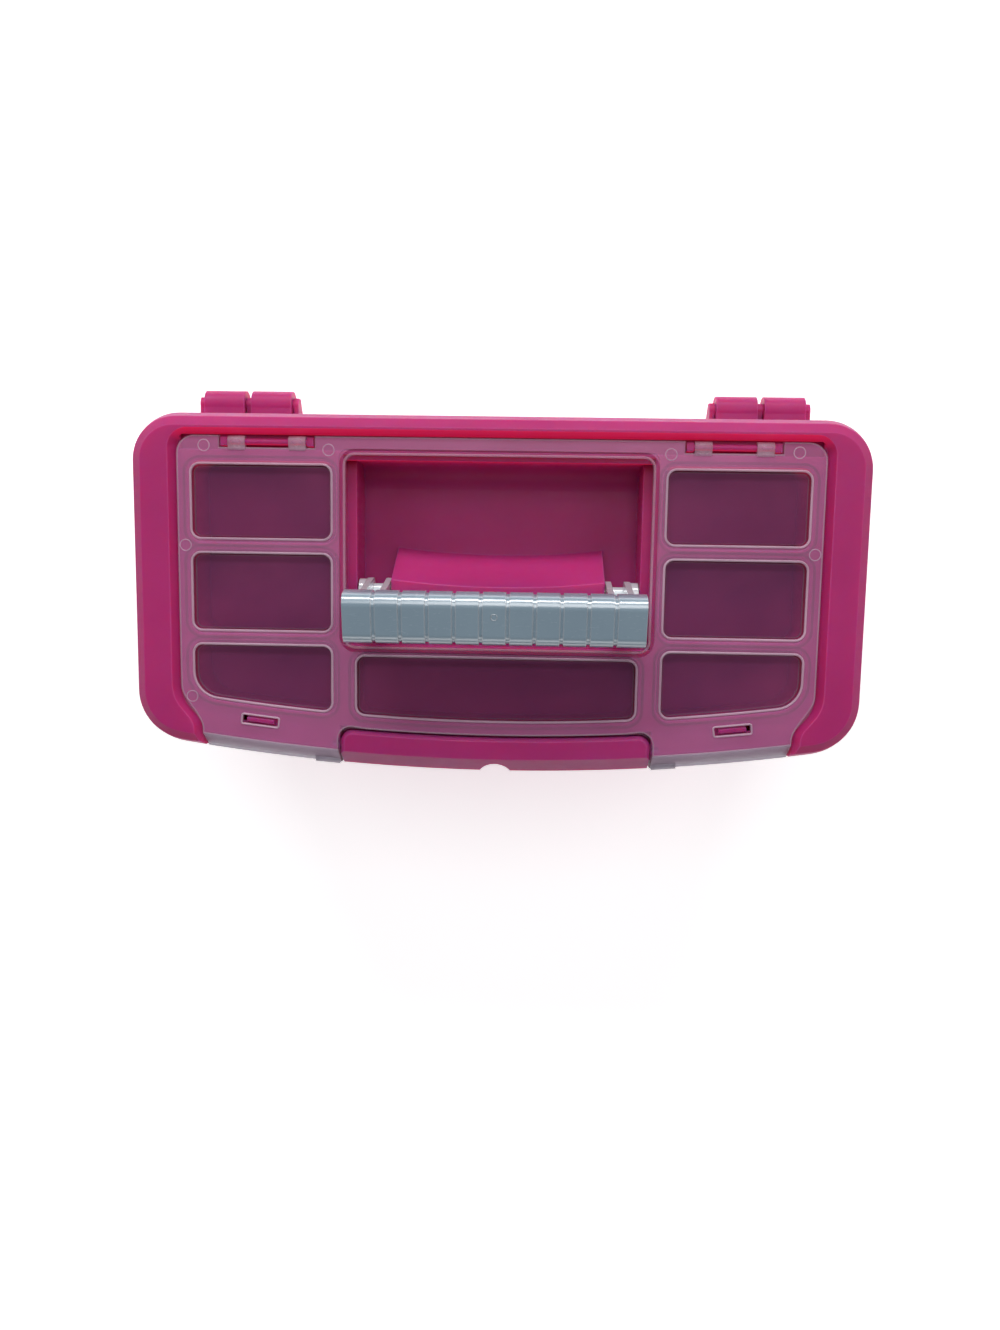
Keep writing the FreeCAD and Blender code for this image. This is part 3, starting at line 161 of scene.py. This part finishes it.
def band(tree, value, places):
    # rises between the first two places and falls between the last two
    starts, full, stillFull, ends = places
    return combine(tree, "MULTIPLY", ramp(tree, value, starts, full), ramp(tree, value, ends, stillFull))


def combine(tree, kind, first, second):
    step = addNode(tree, "ShaderNodeMath", operation=kind)
    tree.links.new(first, step.inputs[0])
    tree.links.new(second, step.inputs[1])
    return step.outputs["Value"]


def mouldedPlastic(name, look):
    material = bpy.data.materials.new(name)
    material.use_nodes = True
    tree = material.node_tree
    link = tree.links.new
    shader = tree.nodes["Principled BSDF"]
    place = addNode(tree, "ShaderNodeTexCoord")
    flow = addNode(tree, "ShaderNodeTexNoise", Scale=look["flowScale"], Detail=4.0, Roughness=0.6)
    link(place.outputs["Object"], flow.inputs["Vector"])
    tint = addNode(tree, "ShaderNodeValToRGB")     # slow drift of colour from the moulding
    tint.color_ramp.elements[0].position = 0.32
    tint.color_ramp.elements[0].color = (*look["deep"], 1)
    tint.color_ramp.elements[1].position = 0.68
    tint.color_ramp.elements[1].color = (*look["colour"], 1)
    link(flow.outputs["Fac"], tint.inputs["Fac"])
    scuff = addNode(tree, "ShaderNodeTexNoise", Scale=look["flowScale"] * 14, Detail=6.0, Roughness=0.7)
    stretch = addNode(tree, "ShaderNodeMapping", Scale=(1.0, 3.4, 1.0))
    link(place.outputs["Object"], stretch.inputs["Vector"])
    link(stretch.outputs["Vector"], scuff.inputs["Vector"])
    link(ramp(tree, scuff.outputs["Fac"], 0.35, 0.70, look["rough"][1], look["rough"][0]),
         shader.inputs["Roughness"])
    # rubbed edges, partly wear and partly a painted edge highlight: lighter where the rounded normal leaves
    # the flat one
    soft = addNode(tree, "ShaderNodeBevel", Radius=look["edgeRadius"], samples=4)
    here = addNode(tree, "ShaderNodeNewGeometry")
    bend = addNode(tree, "ShaderNodeVectorMath", operation="DOT_PRODUCT")
    link(soft.outputs["Normal"], bend.inputs[0])
    link(here.outputs["Normal"], bend.inputs[1])
    wornAndHighlit = addNode(tree, "ShaderNodeMix", data_type="RGBA")
    link(ramp(tree, bend.outputs["Value"], 0.995, 0.86, look["wearAndHighlightAmount"]), wornAndHighlit.inputs["Factor"])
    link(tint.outputs["Color"], wornAndHighlit.inputs["A"])
    wornAndHighlit.inputs["B"].default_value = (*look["wearAndHighlightColour"], 1)
    where = addNode(tree, "ShaderNodeSeparateXYZ")
    link(place.outputs["Object"], where.inputs["Vector"])
    if "paintedArmLight" in look:
        # painted light: below the grip the arms are painted paler, standing in for the back light they catch
        paintedArms = addNode(tree, "ShaderNodeMix", data_type="RGBA")
        armTop = look["paintedArmLightBelow"]
        link(ramp(tree, where.outputs["Z"], armTop, armTop - look["paintedArmLightFade"]), paintedArms.inputs["Factor"])
        link(tint.outputs["Color"], paintedArms.inputs["A"])
        paintedArms.inputs["B"].default_value = (*look["paintedArmLight"], 1)
        link(paintedArms.outputs["Result"], wornAndHighlit.inputs["A"])
    link(wornAndHighlit.outputs["Result"], shader.inputs["Base Color"])
    grain = addNode(tree, "ShaderNodeTexNoise", Scale=look["grainScale"], Detail=2.0, Roughness=0.5)
    link(place.outputs["Object"], grain.inputs["Vector"])
    bump = addNode(tree, "ShaderNodeBump", Strength=0.35, Distance=look["grainDepth"])
    link(grain.outputs["Fac"], bump.inputs["Height"])
    link(soft.outputs["Normal"], bump.inputs["Normal"])
    link(bump.outputs["Normal"], shader.inputs["Normal"])
    shader.inputs["IOR"].default_value = 1.49
    shader.inputs["Specular IOR Level"].default_value = look["shine"]
    if "coat" in look:                               # polished by the hand
        shader.inputs["Coat Weight"].default_value = look["coat"]
        shader.inputs["Coat Roughness"].default_value = look["coatRough"]
        shader.inputs["Coat IOR"].default_value = look["coatIor"]
    if "glow" in look:
        shader.inputs["Subsurface Weight"].default_value = look["glow"]
        shader.inputs["Subsurface Radius"].default_value = (1.0, 0.05, 0.16)
        shader.inputs["Subsurface Scale"].default_value = 0.018
        # painted glow: crimson emission on upright walls at the back and the sides near their tops, standing
        # in for light through the thin walls
        facing = addNode(tree, "ShaderNodeSeparateXYZ")
        link(place.outputs["Normal"], facing.inputs["Vector"])
        outward = addNode(tree, "ShaderNodeMath", operation="ABSOLUTE")
        link(where.outputs["X"], outward.inputs[0])
        inward = combine(tree, "MULTIPLY", facing.outputs["X"], where.outputs["X"])
        paintedBackGlow = combine(tree, "MULTIPLY", ramp(tree, facing.outputs["Y"], -0.4, -0.9),
                           band(tree, where.outputs["Y"], look["glowBack"]))
        paintedSideGlow = combine(tree, "MULTIPLY", ramp(tree, inward, -0.05, -0.11, look["paintedGlowSideShare"]),
                           band(tree, outward.outputs["Value"], look["glowSide"]))
        paintedGlowMask = combine(tree, "ADD", paintedBackGlow, paintedSideGlow)
        high = ramp(tree, where.outputs["Z"], *look["glowRise"], look["paintedWallGlow"])
        link(combine(tree, "MULTIPLY", paintedGlowMask, high), shader.inputs["Emission Strength"])
        shader.inputs["Emission Color"].default_value = (*look["glowColour"], 1)
    if look["alpha"] < 1:
        # the frosting is a little uneven
        haze = ramp(tree, flow.outputs["Fac"], 0.35, 0.65, look["alpha"] * 1.1, look["alpha"] * 0.9)
        faces = addNode(tree, "ShaderNodeSeparateXYZ")   # upright walls are seen edge on, so they look denser
        link(place.outputs["Normal"], faces.inputs["Vector"])
        upright = addNode(tree, "ShaderNodeMath", operation="ABSOLUTE")
        link(faces.outputs["Z"], upright.inputs[0])
        dense = ramp(tree, upright.outputs["Value"], 0.95, 0.35, look["edgeAlpha"])
        link(combine(tree, "ADD", haze, dense), shader.inputs["Alpha"])
    return material


shellPlastic = mouldedPlastic("pinkShell", shellLook)
coverPlastic = mouldedPlastic("frostedCover", coverLook)
ridgePlastic = mouldedPlastic("frostedRidge", ridgeLook)
faintPlastic = mouldedPlastic("frostedStep", faintLook)
tabPlastic = mouldedPlastic("frostedTab", dict(ridgeLook, alpha=0.26, edgeAlpha=0.20))
flapPlastic = mouldedPlastic("frostedFlap", flapLook)
frostPlastic = mouldedPlastic("frostedField", frostLook)
paneShadePlastic = mouldedPlastic("clearPanePaintedShade", paneShadeLook)
handlePlastic = mouldedPlastic("greyHandle", handleLook)
trayPlastic = mouldedPlastic("milkyTray", trayLook)

finishes = {
    "box_body": shellPlastic, "lid": shellPlastic, "front_latch": shellPlastic,
    "organizer_cover": coverPlastic, "carry_handle": handlePlastic,
    "lift_out_tray": trayPlastic,
}
for name, node in nodes.items():
    finish = finishes.get(name, trayPlastic)
    for place in range(len(node.material_slots)):
        node.material_slots[place].material = finish
    if not node.material_slots:
        node.data.materials.append(finish)
print("plastics on", len(nodes), "nodes")


coverPlan = {
    "top": 134.0,            # upper face of the cover
    "bowRadius": 935.0,      # the bowed front
    "bowCentre": 856.6,
    "inner": 69.8,           # side bins, from the middle
    "outer": 133.4,
    "rows": ((56.5, 21.8), (18.7, -17.8)),
    "thirdBack": -20.9,
    "frontInset": 22.6,
    "corner": 5.5,
    "wideCorner": 13.0,
    "middleHalf": 62.3,
    "middleBack": -24.9,
}


def arcPoints(centre, radius, start, end, steps):
    return [(centre[0] + radius * math.cos(start + (end - start) * i / steps),
             centre[1] + radius * math.sin(start + (end - start) * i / steps)) for i in range(steps + 1)]


def roundedLoop(left, right, back, front, radii, bowInset=None, steps=8):
    # closed outline; radii run front right, back right, back left, front left
    frontRight, backRight, backLeft, frontLeft = radii
    quarter = math.pi / 2
    if bowInset is None:
        rightY = front + frontRight
        leftY = front + frontLeft
        rightAngle = leftAngle = -quarter
        side = [(left + frontLeft, front), (right - frontRight, front)]
    else:
        radius = coverPlan["bowRadius"] - bowInset
        centre = coverPlan["bowCentre"]
        rightY = centre - math.sqrt((radius - frontRight) ** 2 - (right - frontRight) ** 2)
        leftY = centre - math.sqrt((radius - frontLeft) ** 2 - (left + frontLeft) ** 2)
        rightAngle = math.atan2(rightY - centre, right - frontRight)
        leftAngle = math.atan2(leftY - centre, left + frontLeft)
        side = arcPoints((0, centre), radius, leftAngle, rightAngle, 20)
    points = list(side)
    points += arcPoints((right - frontRight, rightY), frontRight, rightAngle, 0, steps)[1:]
    points += arcPoints((right - backRight, back - backRight), backRight, 0, quarter, steps)
    points += arcPoints((left + backLeft, back - backLeft), backLeft, quarter, 2 * quarter, steps)
    last = arcPoints((left + frontLeft, leftY), frontLeft, 2 * quarter, leftAngle + 4 * quarter, steps)
    points += last[:-1]
    return points


def binLoops(grow):
    plan = coverPlan
    corner = plan["corner"] - grow
    wide = plan["wideCorner"] - grow
    loops = []
    for side in (1, -1):
        left, right = sorted((side * (plan["inner"] + grow), side * (plan["outer"] - grow)))
        for back, front in plan["rows"]:
            loops.append(roundedLoop(left, right, back - grow, front + grow, (corner,) * 4))
        radii = (wide, corner, corner, corner) if side > 0 else (corner, corner, corner, wide)
        loops.append(roundedLoop(left, right, plan["thirdBack"] - grow, 0, radii, plan["frontInset"] + grow))
    half = plan["middleHalf"] - grow
    loops.append(roundedLoop(-half, half, plan["middleBack"] - grow, 0, (corner,) * 4,
                             plan["frontInset"] + grow))
    return loops


def sweepLoop(maker, loop, profile, height):
    # profile: (outward, up) pairs in mm, swept round a closed anticlockwise outline
    count = len(loop)
    rings = []
    for i, point in enumerate(loop):
        before = Vector(loop[i - 1])
        after = Vector(loop[(i + 1) % count])
        along = (after - before).normalized()
        outward = Vector((along.y, -along.x))
        rings.append([maker.verts.new(spot(point[0] + outward.x * u, point[1] + outward.y * u, height + v))
                      for u, v in profile])
    for i, ring in enumerate(rings):
        following = rings[(i + 1) % count]
        for j in range(len(profile)):
            k = (j + 1) % len(profile)
            maker.faces.new((ring[j], following[j], following[k], ring[k]))


def roundProfile(halfWide, tall, sunk, steps=6):
    # low rounded bead with a flat underside sunk into the plate
    crown = [(halfWide * math.cos(math.pi * i / steps), tall * math.sin(math.pi * i / steps))
             for i in range(steps + 1)]
    return [(halfWide, -sunk)] + crown + [(-halfWide, -sunk)]


def loopsPiece(name, loops, profile, height, material, body):
    maker = bmesh.new()
    for loop in loops:
        sweepLoop(maker, loop, profile, height)
    bmesh.ops.recalc_face_normals(maker, faces=maker.faces)
    mesh = bpy.data.meshes.new(name)
    maker.to_mesh(mesh)
    maker.free()
    return meshPiece(name, mesh, material, body)


ridge = {"halfWide": 0.50, "tall": 0.55, "sunk": 0.4, "inset": 1.4}     # sealing ridges, mm
faintLine = {"halfWide": 0.5, "tall": 0.14, "sunk": 0.2, "inset": -1.4}   # step outside each ridge
loopsPiece("binRidges", binLoops(ridge["inset"]),
           roundProfile(ridge["halfWide"], ridge["tall"], ridge["sunk"]),
           coverPlan["top"], ridgePlastic, "cover")
loopsPiece("binOutlines", binLoops(faintLine["inset"]),
           roundProfile(faintLine["halfWide"], faintLine["tall"], faintLine["sunk"]),
           coverPlan["top"], coverPlastic, "cover")


def binPanes():
    # thin panes just under the cover, one inside each sealing ridge, tinted dark purple as painted shade of
    # the bins' insides
    maker = bmesh.new()
    for loop in binLoops(pane["inset"]):
        low = [maker.verts.new(spot(x, y, pane["low"])) for x, y in loop]
        high = [maker.verts.new(spot(x, y, pane["high"])) for x, y in loop]
        maker.faces.new(list(reversed(low)))
        maker.faces.new(high)
        for i in range(len(loop)):
            k = (i + 1) % len(loop)
            maker.faces.new((low[i], low[k], high[k], high[i]))
    mesh = bpy.data.meshes.new("binPanes")
    maker.to_mesh(mesh)
    maker.free()
    piece = meshPiece("binPanes", mesh, paneShadePlastic, "cover")
    for face in mesh.polygons:
        face.use_smooth = False
    return piece


pane = {"inset": 2.5, "low": 131.55, "high": 131.9}
binPanes()
ejector = {"radius": 2.4, "halfWide": 0.22, "tall": 0.12, "sunk": 0.2,
           "places": ((126, 62.6), (-126, 62.6), (72.5, 61.2), (-72.5, 61.2), (134.6, 20.2), (-134.6, 20.2),
                      (-133.0, -45.6))}
loopsPiece("ejectorMarks",
           [arcPoints(place, ejector["radius"], 0, 2 * math.pi, 28)[:-1] for place in ejector["places"]],
           roundProfile(ejector["halfWide"], ejector["tall"], ejector["sunk"], 4),
           coverPlan["top"], ridgePlastic, "cover")

plate = {
    "half": 138.0, "back": 67.0, "corner": 8.0,
    "flapHalf": 128.8, "shoulderBack": -40.6, "shoulderFront": -60.0,
    "notchNear": 78.6, "notchFar": 119.2, "notchFront": 62.0,      # gaps for the hinge bars
    "frontInset": 7.2, "latchHalf": 68.7, "latchInset": 17.8, "latchRound": 6.1,
    "edgeInset": 0.45, "lineHalf": 0.3, "lineTall": 0.16, "lineSunk": 0.3,
}


def bowY(x, inset):
    return coverPlan["bowCentre"] - math.sqrt((coverPlan["bowRadius"] - inset) ** 2 - x ** 2)


def bowRun(start, end, inset, steps=12):
    return [(start + (end - start) * i / steps, bowY(start + (end - start) * i / steps, inset))
            for i in range(steps + 1)]


def shoulder(half, flap):
    # smooth S from the full width to the flaps, front end first
    top, foot = plate["shoulderBack"], plate["shoulderFront"]
    points = []
    for i in range(17):
        t = i / 16
        ease = t * t * (3 - 2 * t)
        points.append((flap + (half - flap) * ease, foot + (top - foot) * t))
    return points


def plateOutline():
    g = plate["edgeInset"]
    half, back, flap = plate["half"] - g, plate["back"] - g, plate["flapHalf"] - g
    radius = plate["corner"] - g
    near, far, deep = plate["notchNear"] - g, plate["notchFar"] + g, plate["notchFront"] - g
    notchX, notchY = plate["latchHalf"] + g, bowY(plate["latchHalf"], plate["latchInset"] + g)
    bend = plate["latchRound"]
    right = arcPoints((notchX - bend, notchY - bend), bend, math.pi / 2, 0, 6)
    right += bowRun(notchX, flap, plate["frontInset"] + g)
    right += shoulder(half, flap)
    right += arcPoints((half - radius, back - radius), radius, 0, math.pi / 2, 8)
    right += [(far, back), (far, deep), (near, deep), (near, back)]
    left = [(-x, y) for x, y in reversed(right)]
    middle = bowRun(-notchX + bend, notchX - bend, plate["latchInset"] + g, 20)[1:-1]
    return right + left + middle


loopsPiece("coverEdgeLine", [plateOutline()],
           roundProfile(plate["lineHalf"], plate["lineTall"], plate["lineSunk"], 4),
           coverPlan["top"], faintPlastic, "cover")

window = {"half": 65.3, "back": 59.2, "front": -22.3, "corner": 4.0,
          "lipHalf": 0.5, "lipTall": 0.9, "lipSunk": 0.3, "lipGrow": 0.6}


def windowLoop(grow):
    return roundedLoop(-window["half"] - grow, window["half"] + grow, window["back"] + grow,
                       window["front"] - grow, (window["corner"] + grow,) * 4)


loopsPiece("windowLip", [windowLoop(window["lipGrow"])],
           roundProfile(window["lipHalf"], window["lipTall"], window["lipSunk"]),
           coverPlan["top"], faintPlastic, "cover")

slot = {"x": 103.1, "inset": 16.6, "turn": 6.3, "long": 15.6, "wide": 3.6, "corner": 0.8,
        "lipHalf": 0.42, "lipTall": 0.5, "lipSunk": 0.3, "lipGrow": 0.4}


def slotLoop(side):
    centre = Vector((side * slot["x"], bowY(slot["x"], slot["inset"])))
    turn = Matrix.Rotation(math.radians(side * slot["turn"]), 2)
    long, wide = slot["long"] / 2 + slot["lipGrow"], slot["wide"] / 2 + slot["lipGrow"]
    loop = roundedLoop(-long, long, wide, -wide, (slot["corner"],) * 4, None, 4)
    return [tuple(centre + turn @ Vector(point)) for point in loop]


loopsPiece("slotLips", [slotLoop(1), slotLoop(-1)],
           roundProfile(slot["lipHalf"], slot["lipTall"], slot["lipSunk"]),
           coverPlan["top"], ridgePlastic, "cover")

tab = {"places": (82.3, 108.3), "wide": 7.2, "pivotY": 64.4, "pivotZ": 132.4, "radius": 2.5, "front": 60.8,
       "lift": 0.35, "sunk": 0.4}
flapFoot = {"low": 118.9, "high": 125.4, "near": 0.5, "far": 4.1, "left": 68.7, "right": 128.8,
            "block": (69.2, 80.0), "blockNear": 0.3, "blockFar": 3.9, "blockLow": 122.4, "blockHigh": 128.0}
flapSkin = {"margin": 0.3, "lifts": (0.05, -0.3), "edges": ((7.6, 134.0), (0.6, 125.5)), "steps": 14}


def extrude(maker, outline, axisMove):
    # outline: points in mm; closed prism along axisMove
    first = [maker.verts.new(spot(*point)) for point in outline]
    last = [maker.verts.new(spot(*(Vector(point) + Vector(axisMove)))) for point in outline]
    count = len(outline)
    maker.faces.new(first)
    maker.faces.new(list(reversed(last)))
    for i in range(count):
        maker.faces.new((first[i], last[i], last[(i + 1) % count], first[(i + 1) % count]))


def frostField():
    # thin textured skin on the plate, open over the bins, the well and the catches
    loops = [plateOutline(), slotLoop(1), slotLoop(-1)] + binLoops(field["binInset"])
    loops.append(windowLoop(field["windowGrow"]))
    maker = bmesh.new()
    edges = []
    for loop in loops:
        ring = [maker.verts.new(spot(x, y, field["low"])) for x, y in loop]
        edges += [maker.edges.new((ring[i - 1], ring[i])) for i in range(len(ring))]
    bmesh.ops.triangle_fill(maker, use_beauty=True, use_dissolve=False, edges=edges)
    raised = bmesh.ops.extrude_face_region(maker, geom=maker.faces[:])
    top = [item for item in raised["geom"] if isinstance(item, bmesh.types.BMVert)]
    bmesh.ops.translate(maker, verts=top, vec=(0, 0, (field["high"] - field["low"]) * mm))
    bmesh.ops.recalc_face_normals(maker, faces=maker.faces)
    mesh = bpy.data.meshes.new("frostField")
    maker.to_mesh(mesh)
    maker.free()
    piece = meshPiece("frostField", mesh, frostPlastic, "cover")
    for face in mesh.polygons:
        face.use_smooth = False
    return piece


field = {"low": 133.98, "high": 134.05, "binInset": 0.9, "windowGrow": 2.6}
frostField()


def hingeTabs():
    maker = bmesh.new()
    for side in (1, -1):
        for start in tab["places"]:
            x = start if side > 0 else -start - tab["wide"]
            crown = arcPoints((tab["pivotY"], tab["pivotZ"]), tab["radius"], -0.2, math.radians(96), 10)
            outline = [(x, y, z) for y, z in crown]
            outline += [(x, tab["front"], coverPlan["top"] + tab["lift"]),
                        (x, tab["front"], coverPlan["top"] - tab["sunk"])]
            extrude(maker, outline, (tab["wide"], 0, 0))
    bmesh.ops.recalc_face_normals(maker, faces=maker.faces)
    mesh = bpy.data.meshes.new("hingeTabs")
    maker.to_mesh(mesh)
    maker.free()
    return meshPiece("hingeTabs", mesh, tabPlastic, "cover")


def bowSolid(maker, left, right, near, far, low, high, steps=14):
    # block that follows the bowed front, between two insets
    rings = []
    for i in range(steps + 1):
        x = left + (right - left) * i / steps
        rings.append([maker.verts.new(spot(x, bowY(x, inset), z))
                      for inset, z in ((near, low), (far, low), (far, high), (near, high))])
    for first, second in zip(rings, rings[1:]):
        for j in range(4):
            k = (j + 1) % 4
            maker.faces.new((first[j], second[j], second[k], first[k]))
    maker.faces.new(rings[0])
    maker.faces.new(list(reversed(rings[-1])))


def flapFeet():
    maker = bmesh.new()
    for side in (1, -1):
        # skin over the bevel, then the foot and the little stop block
        ends = (flapFoot["left"] + flapSkin["margin"], flapFoot["right"] - flapSkin["margin"])
        columns = []
        for i in range(flapSkin["steps"] + 1):
            x = side * (ends[0] + (ends[1] - ends[0]) * i / flapSkin["steps"])
            columns.append([maker.verts.new(spot(x, bowY(x, inset) - lift, z + lift))
                            for lift in flapSkin["lifts"] for inset, z in flapSkin["edges"]])
        for first, second in zip(columns, columns[1:]):
            for j, k in ((0, 1), (1, 3), (3, 2), (2, 0)):
                maker.faces.new((first[j], second[j], second[k], first[k]))
        maker.faces.new([columns[0][j] for j in (0, 1, 3, 2)])
        maker.faces.new([columns[-1][j] for j in (0, 1, 3, 2)])
        left, right = sorted((side * flapFoot["left"], side * flapFoot["right"]))
        bowSolid(maker, left, right, flapFoot["near"], flapFoot["far"], flapFoot["low"], flapFoot["high"])
        left, right = sorted((side * flapFoot["block"][0], side * flapFoot["block"][1]))
        bowSolid(maker, left, right, flapFoot["blockNear"], flapFoot["blockFar"], flapFoot["blockLow"],
                 flapFoot["blockHigh"], 4)
    bmesh.ops.recalc_face_normals(maker, faces=maker.faces)
    mesh = bpy.data.meshes.new("flapFeet")
    maker.to_mesh(mesh)
    maker.free()
    return meshPiece("flapFeet", mesh, flapPlastic, "cover")


hingeTabs()
flapFeet()
print("cover ridges, lips, tabs and marks")

gripMark = {"pivotY": 1.5, "pivotZ": 116.0, "lean": 12.0, "faceUp": 49.5, "back": 2.3, "radius": 1.25,
            "halfWide": 0.22, "tall": 0.10, "sunk": 0.1}


def markGrip():
    # plain round ejector mark on the middle band of the grip
    maker = bmesh.new()
    ring = arcPoints((0, gripMark["back"]), gripMark["radius"], 0, 2 * math.pi, 24)[:-1]
    bead = roundProfile(gripMark["halfWide"], gripMark["tall"], gripMark["sunk"], 4)
    sweepLoop(maker, ring, bead, gripMark["faceUp"])
    bmesh.ops.recalc_face_normals(maker, faces=maker.faces)
    mesh = bpy.data.meshes.new("gripMark")
    maker.to_mesh(mesh)
    maker.free()
    lean = Matrix.Rotation(math.radians(gripMark["lean"]), 4, "X")
    mesh.transform(Matrix.Translation(spot(0, gripMark["pivotY"], gripMark["pivotZ"])) @ lean)
    return meshPiece("gripMark", mesh, handlePlastic, "handle")


markGrip()
print("mark on the grip")


floorLook = {"size": 6.0, "colour": (0.93, 0.93, 0.93), "lift": 0.64}
lights = {
    "highBack": {"place": (-0.10, 1.30, 1.00), "aim": (0, 0, 0.10), "size": (1.5, 0.25), "power": 14.0},
    "overhead": {"place": (0.04, 0.34, 1.05), "aim": (0, 0, 0.10), "size": (0.5, 0.5), "power": 2.0},
    "leftHigh": {"place": (-1.10, 0.50, 1.10), "aim": (0, 0, 0.10), "size": (0.8, 0.8), "power": 2.8},
    "rightHigh": {"place": (1.10, 0.50, 1.10), "aim": (0, 0, 0.10), "size": (0.8, 0.8), "power": 4.2},
    "frontFill": {"place": (0.0, -1.30, 0.70), "aim": (0, 0, 0.12), "size": (1.4, 0.5), "power": 3.0},
}
roomLight = {"colour": (0.93, 0.96, 1.0), "strength": 0.04, "backdrop": 0.9}
view = {"place": (14.3, 22.2, 564.0), "turn": (-6.80, 1.77, 0.91), "lens": 27.07}


def buildFloor():
    mesh = bpy.data.meshes.new("floor")
    half = floorLook["size"] / 2
    corners = [(-half, -half, 0), (half, -half, 0), (half, half, 0), (-half, half, 0)]
    mesh.from_pydata(corners, [], [(0, 1, 2, 3)])
    floor = bpy.data.objects.new("floor", mesh)
    bpy.context.collection.objects.link(floor)
    material = bpy.data.materials.new("paleFloor")
    material.use_nodes = True
    shader = material.node_tree.nodes["Principled BSDF"]
    speck = addNode(material.node_tree, "ShaderNodeTexNoise", Scale=40.0, Detail=3.0)
    tone = addNode(material.node_tree, "ShaderNodeValToRGB")
    tone.color_ramp.elements[0].color = (*[v * 0.985 for v in floorLook["colour"]], 1)
    tone.color_ramp.elements[1].color = (*floorLook["colour"], 1)
    material.node_tree.links.new(speck.outputs["Fac"], tone.inputs["Fac"])
    material.node_tree.links.new(tone.outputs["Color"], shader.inputs["Base Color"])
    shader.inputs["Roughness"].default_value = 0.85
    shader.inputs["Emission Color"].default_value = (1, 1, 1, 1)
    shader.inputs["Emission Strength"].default_value = floorLook["lift"]
    mesh.materials.append(material)


def buildLights():
    for name, values in lights.items():
        lamp = bpy.data.lights.new(name, "AREA")
        lamp.shape = "RECTANGLE"
        lamp.size, lamp.size_y = values["size"]
        lamp.energy = values["power"]
        item = bpy.data.objects.new(name, lamp)
        item.location = values["place"]
        beam = Vector(values["aim"]) - Vector(values["place"])
        item.rotation_euler = beam.to_track_quat("-Z", "Y").to_euler()
        bpy.context.collection.objects.link(item)
    world = bpy.data.worlds.new("room")
    world.use_nodes = True
    world.node_tree.nodes["Background"].inputs["Color"].default_value = (*roomLight["colour"], 1)
    tree = world.node_tree
    tree.nodes["Background"].inputs["Strength"].default_value = roomLight["strength"]
    backdrop = addNode(tree, "ShaderNodeBackground", Color=(*roomLight["colour"], 1),
                       Strength=roomLight["backdrop"])
    path = addNode(tree, "ShaderNodeLightPath")
    choose = addNode(tree, "ShaderNodeMixShader")        # a pale backdrop that gives no light
    tree.links.new(path.outputs["Is Camera Ray"], choose.inputs["Fac"])
    tree.links.new(tree.nodes["Background"].outputs["Background"], choose.inputs[1])
    tree.links.new(backdrop.outputs["Background"], choose.inputs[2])
    tree.links.new(choose.outputs["Shader"], tree.nodes["World Output"].inputs["Surface"])
    bpy.context.scene.world = world


def buildCamera():
    lens = bpy.data.cameras.new("camera")
    lens.sensor_fit = "AUTO"
    lens.sensor_width = 36
    lens.lens = view["lens"]
    lens.clip_start = 0.01
    camera = bpy.data.objects.new("camera", lens)
    turnX, turnY, turnZ = [math.radians(angle) for angle in view["turn"]]
    turn = Matrix.Rotation(turnZ, 4, "Z") @ Matrix.Rotation(turnY, 4, "Y") @ Matrix.Rotation(turnX, 4, "X")
    camera.matrix_world = Matrix.Translation(spot(*view["place"])) @ turn
    bpy.context.collection.objects.link(camera)
    bpy.context.scene.camera = camera


buildFloor()
buildLights()
buildCamera()
bpy.context.scene.view_settings.view_transform = "Standard"
print("floor, light and camera")
